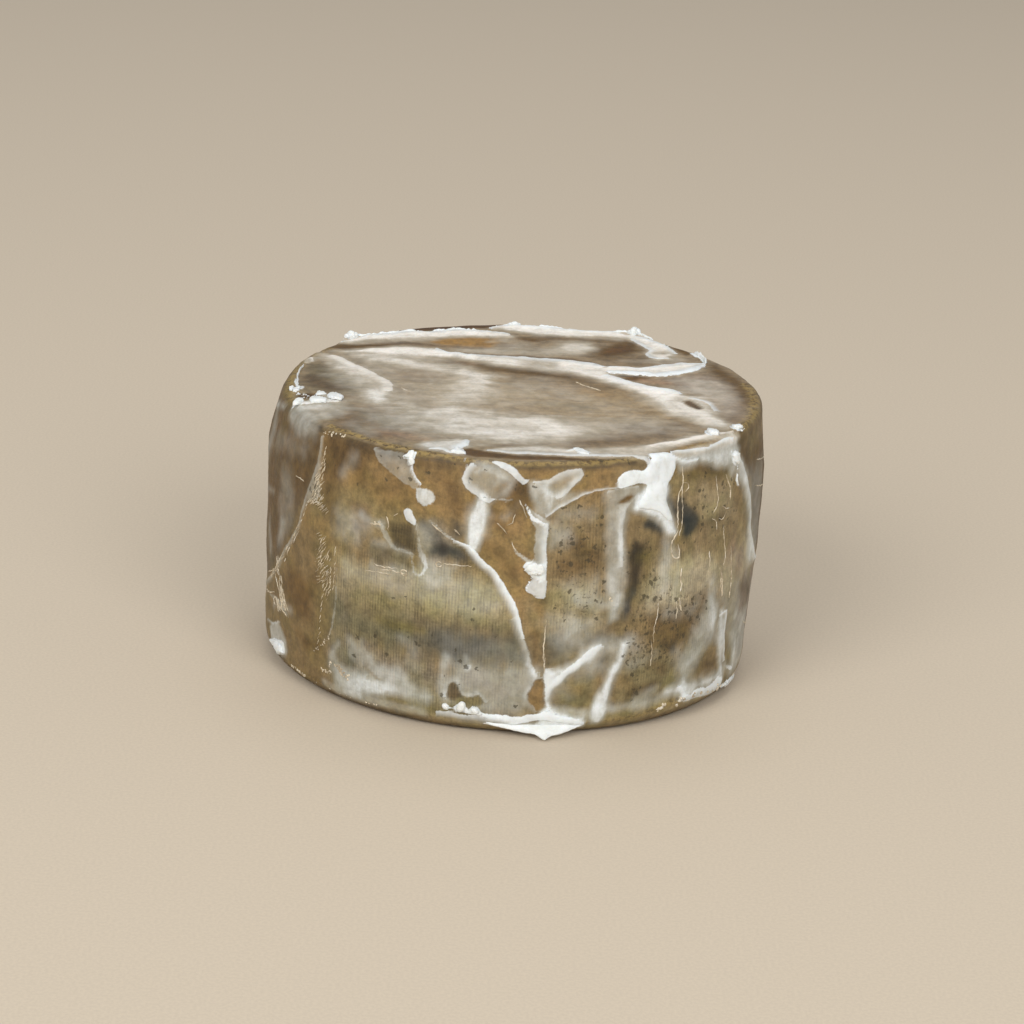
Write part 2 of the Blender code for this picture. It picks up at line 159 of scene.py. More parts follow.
def side_radius(angle, z):
    t = 2 * z / HEIGHT - 1
    ends = 0.5 * (BASE_RADIUS + TOP_RADIUS)
    radius = BELLY_RADIUS + 0.5 * (TOP_RADIUS - BASE_RADIUS) * t + (ends - BELLY_RADIUS) * t * t
    twice = np.radians(2 * angle)
    radius = radius + OVAL_FRONT_BACK * np.cos(twice) + OVAL_DIAGONAL * np.sin(twice)
    for at_angle, at_z, wide, high, rise in SWELLS:
        off = (angle - at_angle + 180) % 360 - 180
        radius = radius + rise * np.exp(-(off / wide) ** 2 - ((z - at_z) / high) ** 2)
    return radius


def rim_round(angle):
    off = (np.asarray(angle) + 84 + 180) % 360 - 180
    return RIM_ROUND + RIM_ROUND_LEFT * np.exp(-(off / 34) ** 2)


def turn(x, y, z):
    slope = TOP_SLOPE[0] * x + TOP_SLOPE[1] * y
    return np.stack([x + LEAN * z, y + 0 * z, z + z / HEIGHT * slope], -1)


def skin(angle, height):
    """Point of the rind at an angle and a height run over base edge, side, rim and top."""
    angle, height = np.broadcast_arrays(np.asarray(angle, float), np.asarray(height, float))
    rim = rim_round(angle)
    low = np.clip((BASE_ROUND - height) / BASE_ROUND, 0, math.pi / 2)
    high = np.clip((height - (HEIGHT - rim)) / rim, 0, None)
    inward = np.clip(high - math.pi / 2, 0, None) * rim
    high = np.minimum(high, math.pi / 2)
    z = np.where(height < BASE_ROUND, BASE_ROUND * (1 - np.sin(low)),
                 np.where(high > 0, HEIGHT - rim * (1 - np.sin(high)), height))
    radius = side_radius(angle, z) - BASE_ROUND * (1 - np.cos(low))
    radius = radius - rim * (1 - np.cos(high)) - inward
    a = np.radians(angle)
    return turn(radius * np.sin(a), -radius * np.cos(a), z)


def crown(x, y):
    x, y = np.broadcast_arrays(np.asarray(x, float), np.asarray(y, float))
    return turn(x, y, np.full_like(x, HEIGHT))


# Noise

class Lattice:
    """Smooth value noise on a repeating lattice, from -1 to 1."""

    def __init__(self, seed, size=64):
        self.size = size
        self.values = np.random.default_rng(seed).uniform(-1, 1, (size, size, size))

    def __call__(self, points, scale):
        p = points * scale
        cell = np.floor(p).astype(int)
        f = p - cell
        f = f * f * (3 - 2 * f)
        total = 0
        for dx in (0, 1):
            for dy in (0, 1):
                for dz in (0, 1):
                    weight = np.abs(1 - dx - f[:, 0]) * np.abs(1 - dy - f[:, 1])
                    weight = weight * np.abs(1 - dz - f[:, 2])
                    at = (cell + (dx, dy, dz)) % self.size
                    total = total + weight * self.values[at[:, 0], at[:, 1], at[:, 2]]
        return total


lattice = Lattice(11)


def ease(low, high, value):
    t = np.clip((value - low) / (high - low), 0, 1)
    return t * t * (3 - 2 * t)


# The skin's mesh

def column_angles():
    half = FRONT_SPAN / 2
    front = np.linspace(-half, half, FRONT_COLUMNS + 1)[:-1]
    back = np.linspace(half, 360 - half, BACK_COLUMNS + 1)[:-1]
    return np.concatenate([front, back])


def side_grid(angles):
    """Rings of points from the base edge up the side and over the rim."""
    low = np.linspace(BASE_ROUND * (1 - math.pi / 2), BASE_ROUND, ROUND_ROWS + 1)
    up = np.linspace(0, 1, SIDE_ROWS + 1)[1:]
    arc = np.linspace(0, math.pi / 2, ROUND_ROWS + 1)[1:]
    rim = rim_round(angles)
    heights = [np.full(len(angles), h) for h in low]
    heights += [BASE_ROUND + (HEIGHT - rim - BASE_ROUND) * t for t in up]
    heights += [HEIGHT - rim + rim * t for t in arc]
    heights = np.array(heights)
    return np.broadcast_to(angles, heights.shape), heights


def zip_rings(outer, outer_place, inner, inner_place):
    """Triangles between two rings of different fineness; places run from 0 to 1."""
    faces = []
    i = j = 0
    while i < len(outer) or j < len(inner):
        next_outer = outer_place[i + 1] if i + 1 < len(outer) else 1.0
        next_inner = inner_place[j + 1] if j + 1 < len(inner) else 1.0
        step_outer = j >= len(inner) or (i < len(outer) and next_outer <= next_inner)
        a, b = outer[i % len(outer)], inner[j % len(inner)]
        if step_outer:
            faces.append((a, outer[(i + 1) % len(outer)], b))
            i += 1
        else:
            faces.append((a, inner[(j + 1) % len(inner)], b))
            j += 1
    return faces


def make_skin():
    """Vertices, faces and each vertex's angle and run-on height. The side is a grid of
    columns; the top is a square grid drawn out to a disc; the base is two rings."""
    angles = column_angles()
    columns = len(angles)
    grid_angle, heights = side_grid(angles)
    rows = len(heights)
    points = [skin(grid_angle, heights).reshape(-1, 3)]
    half = TOP_GRID // 2
    ring_a, ring_share = [np.zeros(1)], [np.zeros(1)]
    for k in range(1, half + 1):
        ring_a.append(np.arange(8 * k) / (8 * k) * 360 - 180)
        ring_share.append(np.full(8 * k, k / (half + 0.6)))
    ring_a, ring_share = np.concatenate(ring_a), np.concatenate(ring_share)
    edge_radius = side_radius(ring_a, HEIGHT) - rim_round(ring_a)
    ring_r = edge_radius * ring_share
    a = np.radians(ring_a)
    points.append(crown(ring_r * np.sin(a), -ring_r * np.cos(a)))
    top_start = rows * columns
    top_height = HEIGHT + rim_round(ring_a) * (math.pi / 2 - 1) + edge_radius - ring_r
    base_start = top_start + len(ring_a)
    inner = skin(angles, heights[0]) * (0.5, 0.5, 0)
    points += [inner, np.zeros((1, 3))]
    points = np.concatenate(points)
    angle = np.concatenate([grid_angle.ravel(), ring_a, angles, [0]])
    height = np.concatenate([heights.ravel(), top_height, np.full(columns + 1, UNDERSIDE)])

    c = np.arange(columns)
    n = (c + 1) % columns
    quads = [np.stack([r * columns + c, r * columns + n,
                       (r + 1) * columns + n, (r + 1) * columns + c], 1)
             for r in range(rows - 1)]
    quads.append(np.stack([base_start + c, base_start + n, n, c], 1))

    def corner(i, j):
        k = np.maximum(np.abs(i), np.abs(j))
        p = np.where(j == -k, i + k, np.where(i == k, 3 * k + j,
                     np.where(j == k, 5 * k - i, 7 * k - j)))
        p = (np.where((i == -k) & (j == -k), 0, p) + 3 * k) % np.maximum(8 * k, 1)
        return np.where(k == 0, top_start, top_start + 1 + 4 * k * (k - 1) + p)

    i, j = np.meshgrid(np.arange(-half, half), np.arange(-half, half), indexing="ij")
    i, j = i.ravel(), j.ravel()
    quads.append(np.stack([corner(i, j), corner(i + 1, j), corner(i + 1, j + 1),
                           corner(i, j + 1)], 1))
    quads = np.concatenate(quads)

    around = np.argsort((angles + 180) % 360)
    outer = (rows - 1) * columns + around
    last = top_start + 1 + 4 * half * (half - 1) + np.arange(8 * half)
    outer_place = (angles[around] + 180) % 360 / 360
    inner_place = np.arange(8 * half) / (8 * half)
    strip = zip_rings(outer, outer_place, last, inner_place)
    strip = [(a, b, c) for a, b, c in strip if len({a, b, c}) == 3]
    centre = base_start + columns
    fan = [(centre, base_start + k, base_start + (k + 1) % columns) for k in range(columns)]
    fan = [(a, c, b) for a, b, c in fan]
    return points, quads, strip + fan, angle, height


def vertex_normals(points, quads):
    a, b, c, d = (points[quads[:, k]] for k in range(4))
    across = np.cross(c - a, d - b)
    total = np.zeros_like(points)
    for k in range(4):
        np.add.at(total, quads[:, k], across)
    length = np.linalg.norm(total, axis=1, keepdims=True)
    return total / np.maximum(length, 1e-9)


# Shapes of paint and lard, as signed distances in mm, positive inside

def area_distance(u, v, outline):
    inside = np.zeros(len(u), bool)
    best = np.full(len(u), 1e9)
    for (x0, y0), (x1, y1) in zip(outline, np.roll(outline, -1, 0)):
        dx, dy = x1 - x0, y1 - y0
        t = np.clip(((u - x0) * dx + (v - y0) * dy) / (dx * dx + dy * dy + 1e-9), 0, 1)
        best = np.minimum(best, (u - x0 - t * dx) ** 2 + (v - y0 - t * dy) ** 2)
        crosses = (y0 > v) != (y1 > v)
        inside ^= crosses & (u < (x1 - x0) * (v - y0) / (y1 - y0 + 1e-12) + x0)
    return np.where(inside, 1, -1) * np.sqrt(best)


def curve(stops, step=2.0):
    """Catmull-Rom curve through the stops."""
    rows = []
    last = len(stops) - 1
    for i in range(last):
        a, b, c, d = stops[max(i - 1, 0)], stops[i], stops[i + 1], stops[min(i + 2, last)]
        count = max(int(np.hypot(*(c - b)[:2]) / step), 1)
        for k in range(count):
            t = k / count
            rows.append(0.5 * (2 * b + (c - a) * t + (2 * a - 5 * b + 4 * c - d) * t * t
                               + (3 * b - a - 3 * c + d) * t ** 3))
    rows.append(stops[-1])
    return np.array(rows)


def line_distance(u, v, stops):
    best = np.full(len(u), -1e9)
    path = curve(stops)
    for (x0, y0, w0), (x1, y1, w1) in zip(path, path[1:]):
        dx, dy = x1 - x0, y1 - y0
        t = np.clip(((u - x0) * dx + (v - y0) * dy) / (dx * dx + dy * dy + 1e-9), 0, 1)
        gap = np.hypot(u - x0 - t * dx, v - y0 - t * dy)
        best = np.maximum(best, w0 + (w1 - w0) * t - gap)
    return best


def edge_distance(u, v, stops):
    """Distance from a crisp edge, positive on the side it fades to, and the width of the
    fade there. The fade lies left of the path, or right of it where widths are negative."""
    gap = np.full(len(u), 1e9)
    sign = np.ones(len(u))
    fade = np.ones(len(u))
    path = curve(stops)
    last = len(path) - 2
    for i, ((x0, y0, w0), (x1, y1, w1)) in enumerate(zip(path, path[1:])):
        dx, dy = x1 - x0, y1 - y0
        raw = ((u - x0) * dx + (v - y0) * dy) / (dx * dx + dy * dy + 1e-9)
        t = np.clip(raw, 0, 1)
        here = np.hypot(u - x0 - t * dx, v - y0 - t * dy)
        beyond = ((i == 0) & (raw < 0)) | ((i == last) & (raw > 1))
        side = np.where(dx * (v - y0) - dy * (u - x0) > 0, 1, -1) * np.sign(w0)
        side = np.where(beyond & (here > 0.4), -1, side)
        nearer = here < gap
        gap = np.where(nearer, here, gap)
        sign = np.where(nearer, side, sign)
        fade = np.where(nearer, np.abs(w0 + (w1 - w0) * t), fade)
    return sign * gap, np.maximum(fade, 0.3)


class Canvas:
    """The rind's vertices with what is painted on them."""

    def __init__(self, points, angle, height):
        self.points = points
        count = len(points)
        wobble = np.stack([lattice(points, 0.16), lattice(points + 50, 0.16)], 1) * 0.40
        wobble += np.stack([lattice(points + 90, 0.5), lattice(points + 20, 0.5)], 1) * 0.24
        wrapped = (angle + 180) % 360 - 180
        self.places = {
            "side": (wrapped * PER_DEGREE + wobble[:, 0], height + wobble[:, 1],
                     (height > -20) & (height < HEIGHT + 16)),
            "top": (points[:, 0] + wobble[:, 0], points[:, 1] + wobble[:, 1],
                    height > HEIGHT - 4),
        }
        self.on_top = ease(HEIGHT - 0.9, HEIGHT + 0.9, height)
        upright, lying = points * (0.30, 0.30, 0.14), points * (0.07, 0.34, 0.3)
        self.smoke = {
            "side": 0.6 * lattice(upright + 31, 1.0) + 0.4 * lattice(upright + 5, 2.6),
            "top": 0.6 * lattice(lying + 31, 1.0) + 0.4 * lattice(lying + 5, 2.6),
        }
        side, top = linear(PALETTE["rind"]), linear(PALETTE["stone"])
        self.tint = side + (top - side) * self.on_top[:, None]
        self.veil = np.zeros(count)
        self.lard = np.full(count, BARE)
        self.lard_amount = np.zeros(count)
        self.film = np.full(count, BARE)
        self.film_amount = np.zeros(count)
        self.relief = np.zeros(count)
        self.ribs = np.full(count, RIB_BASE) * (1 - self.on_top)
        self.specks = np.zeros(count)
        self.crumb = np.zeros(count)
        self.tree = KDTree(count)
        for k, point in enumerate(points):
            self.tree.insert(point, k)
        self.tree.balance()

    def measure(self, surface, kind, text, margin):
        """Which vertices a shape reaches, its signed distance there, and the fade's width."""
        u, v, allowed = self.places[surface]
        stops = numbers(text)
        if surface == "side":
            stops[:, 0] *= PER_DEGREE
        wide = margin + (np.abs(stops[:, 2]).max() if kind != "area" else 0)
        low, high = stops[:, :2].min(0) - wide, stops[:, :2].max(0) + wide
        near = allowed & (u > low[0]) & (u < high[0]) & (v > low[1]) & (v < high[1])
        at = np.nonzero(near)[0]
        if kind == "edge":
            distance, fade = edge_distance(u[at], v[at], stops)
            return at, distance, fade
        measure = line_distance if kind == "line" else area_distance
        return at, measure(u[at], v[at], stops), None

    def weight(self, surface, kind, soft, text):
        at, distance, fade = self.measure(surface, kind, text, SOFT_REACH * soft)
        if fade is None:
            distance = distance + SMOKE_BEND * soft * self.smoke[surface][at]
            weight = ease(-soft, soft, distance)
        else:
            weight = ease(-soft, soft, distance) * (1 - ease(0, 1, distance / fade))
        if surface == "top":
            weight = weight * self.on_top[at]
        return at, weight

    def wash(self, surface, kind, colour, strength, soft, text):
        """Soft colour in the rind."""
        at, weight = self.weight(surface, kind, soft, text)
        weight = strength * weight[:, None]
        self.tint[at] = self.tint[at] * (1 - weight) + linear(PALETTE[colour]) * weight

    def haze(self, surface, kind, strength, soft, text):
        """Thin, soft-edged lard; a negative strength wipes it off."""
        at, weight = self.weight(surface, kind, soft, text)
        weight = strength * weight
        old = self.veil[at]
        self.veil[at] = np.where(weight < 0, old * (1 + weight), old + (1 - old) * weight)

    def amount(self, surface, kind, name, value, soft, text):
        """Sets how strong the cloth ribs, the specks or the rim's crumb are."""
        at, weight = self.weight(surface, kind, soft, text)
        field = getattr(self, name)
        field[at] = field[at] * (1 - weight) + value * weight

    def coat(self, surface, kind, layer, opacity, thickness, text):
        """A crisp-edged coat: thin film or thick lard, with its relief."""
        at, distance, fade = self.measure(surface, kind, text, COAT_REACH)
        depth = np.clip(distance + 0.35, 0, None) / COAT_RUN[layer]
        rise = thickness * (1 - np.exp(-depth))
        new = np.full(len(at), opacity)
        if fade is not None:
            left = 1 - ease(0.12, 1.0, distance / fade)
            new, rise = new * left, rise * left
            distance = np.minimum(distance, fade + 1 - distance)
        field = getattr(self, layer)
        amounts = getattr(self, layer + "_amount")
        old_in, new_in = ease(-0.5, 0.5, field[at]), ease(-0.5, 0.5, distance)
        closer = np.where(distance > field[at], 1.0, 0.0)
        over = np.maximum(new_in, closer * (1 - old_in))
        under = (1 - old_in) * np.maximum(new_in, closer)
        mix = np.where(new > amounts[at], over, under)
        amounts[at] = amounts[at] * (1 - mix) + new * mix
        field[at] = np.maximum(field[at], distance)
        self.relief[at] = np.maximum(self.relief[at], rise)

    def gap(self, surface, kind, layer, text):
        """Takes a coat away inside a shape, with its relief."""
        at, distance, _ = self.measure(surface, kind, text, GAP_REACH)
        field = getattr(self, layer)
        field[at] = np.minimum(field[at], -distance)
        self.relief[at] *= 1 - ease(-0.6, 0.6, distance)


# What is painted. Places on the side are angle,height; on the top x,y; lines add a half-width
# and edges the width over which they fade. Outlines that come back have a name.
OUTLINES = {
    "hollow": "59.6,-9.4 62,-6.6 64,-9.6 66.4,-15 66.8,-18.2 65,-18.6 61.4,-14",
    "notch": "23.6,86.2 24.4,87.9 25.7,88.9 27.1,89.2 27.9,88.6 26.5,86.5 24.8,86",
}


def shapes(surface, text):
    """Reads a shape from each line: words and numbers, then its places, such as 12,40. An
    indented line carries on the one above it, and a line that starts with # is a remark."""
    rows = []
    for line in text.strip().splitlines():
        if line[0] == "#":
            continue
        if line[0] != " ":
            rows.append([])
        for word in line.split():
            rows[-1] += OUTLINES.get(word, word).split()
    found = []
    for row in rows:
        head = [word if word.isalpha() else float(word) for word in row if "," not in word]
        found.append((surface, *head, " ".join(word for word in row if "," in word)))
    return found


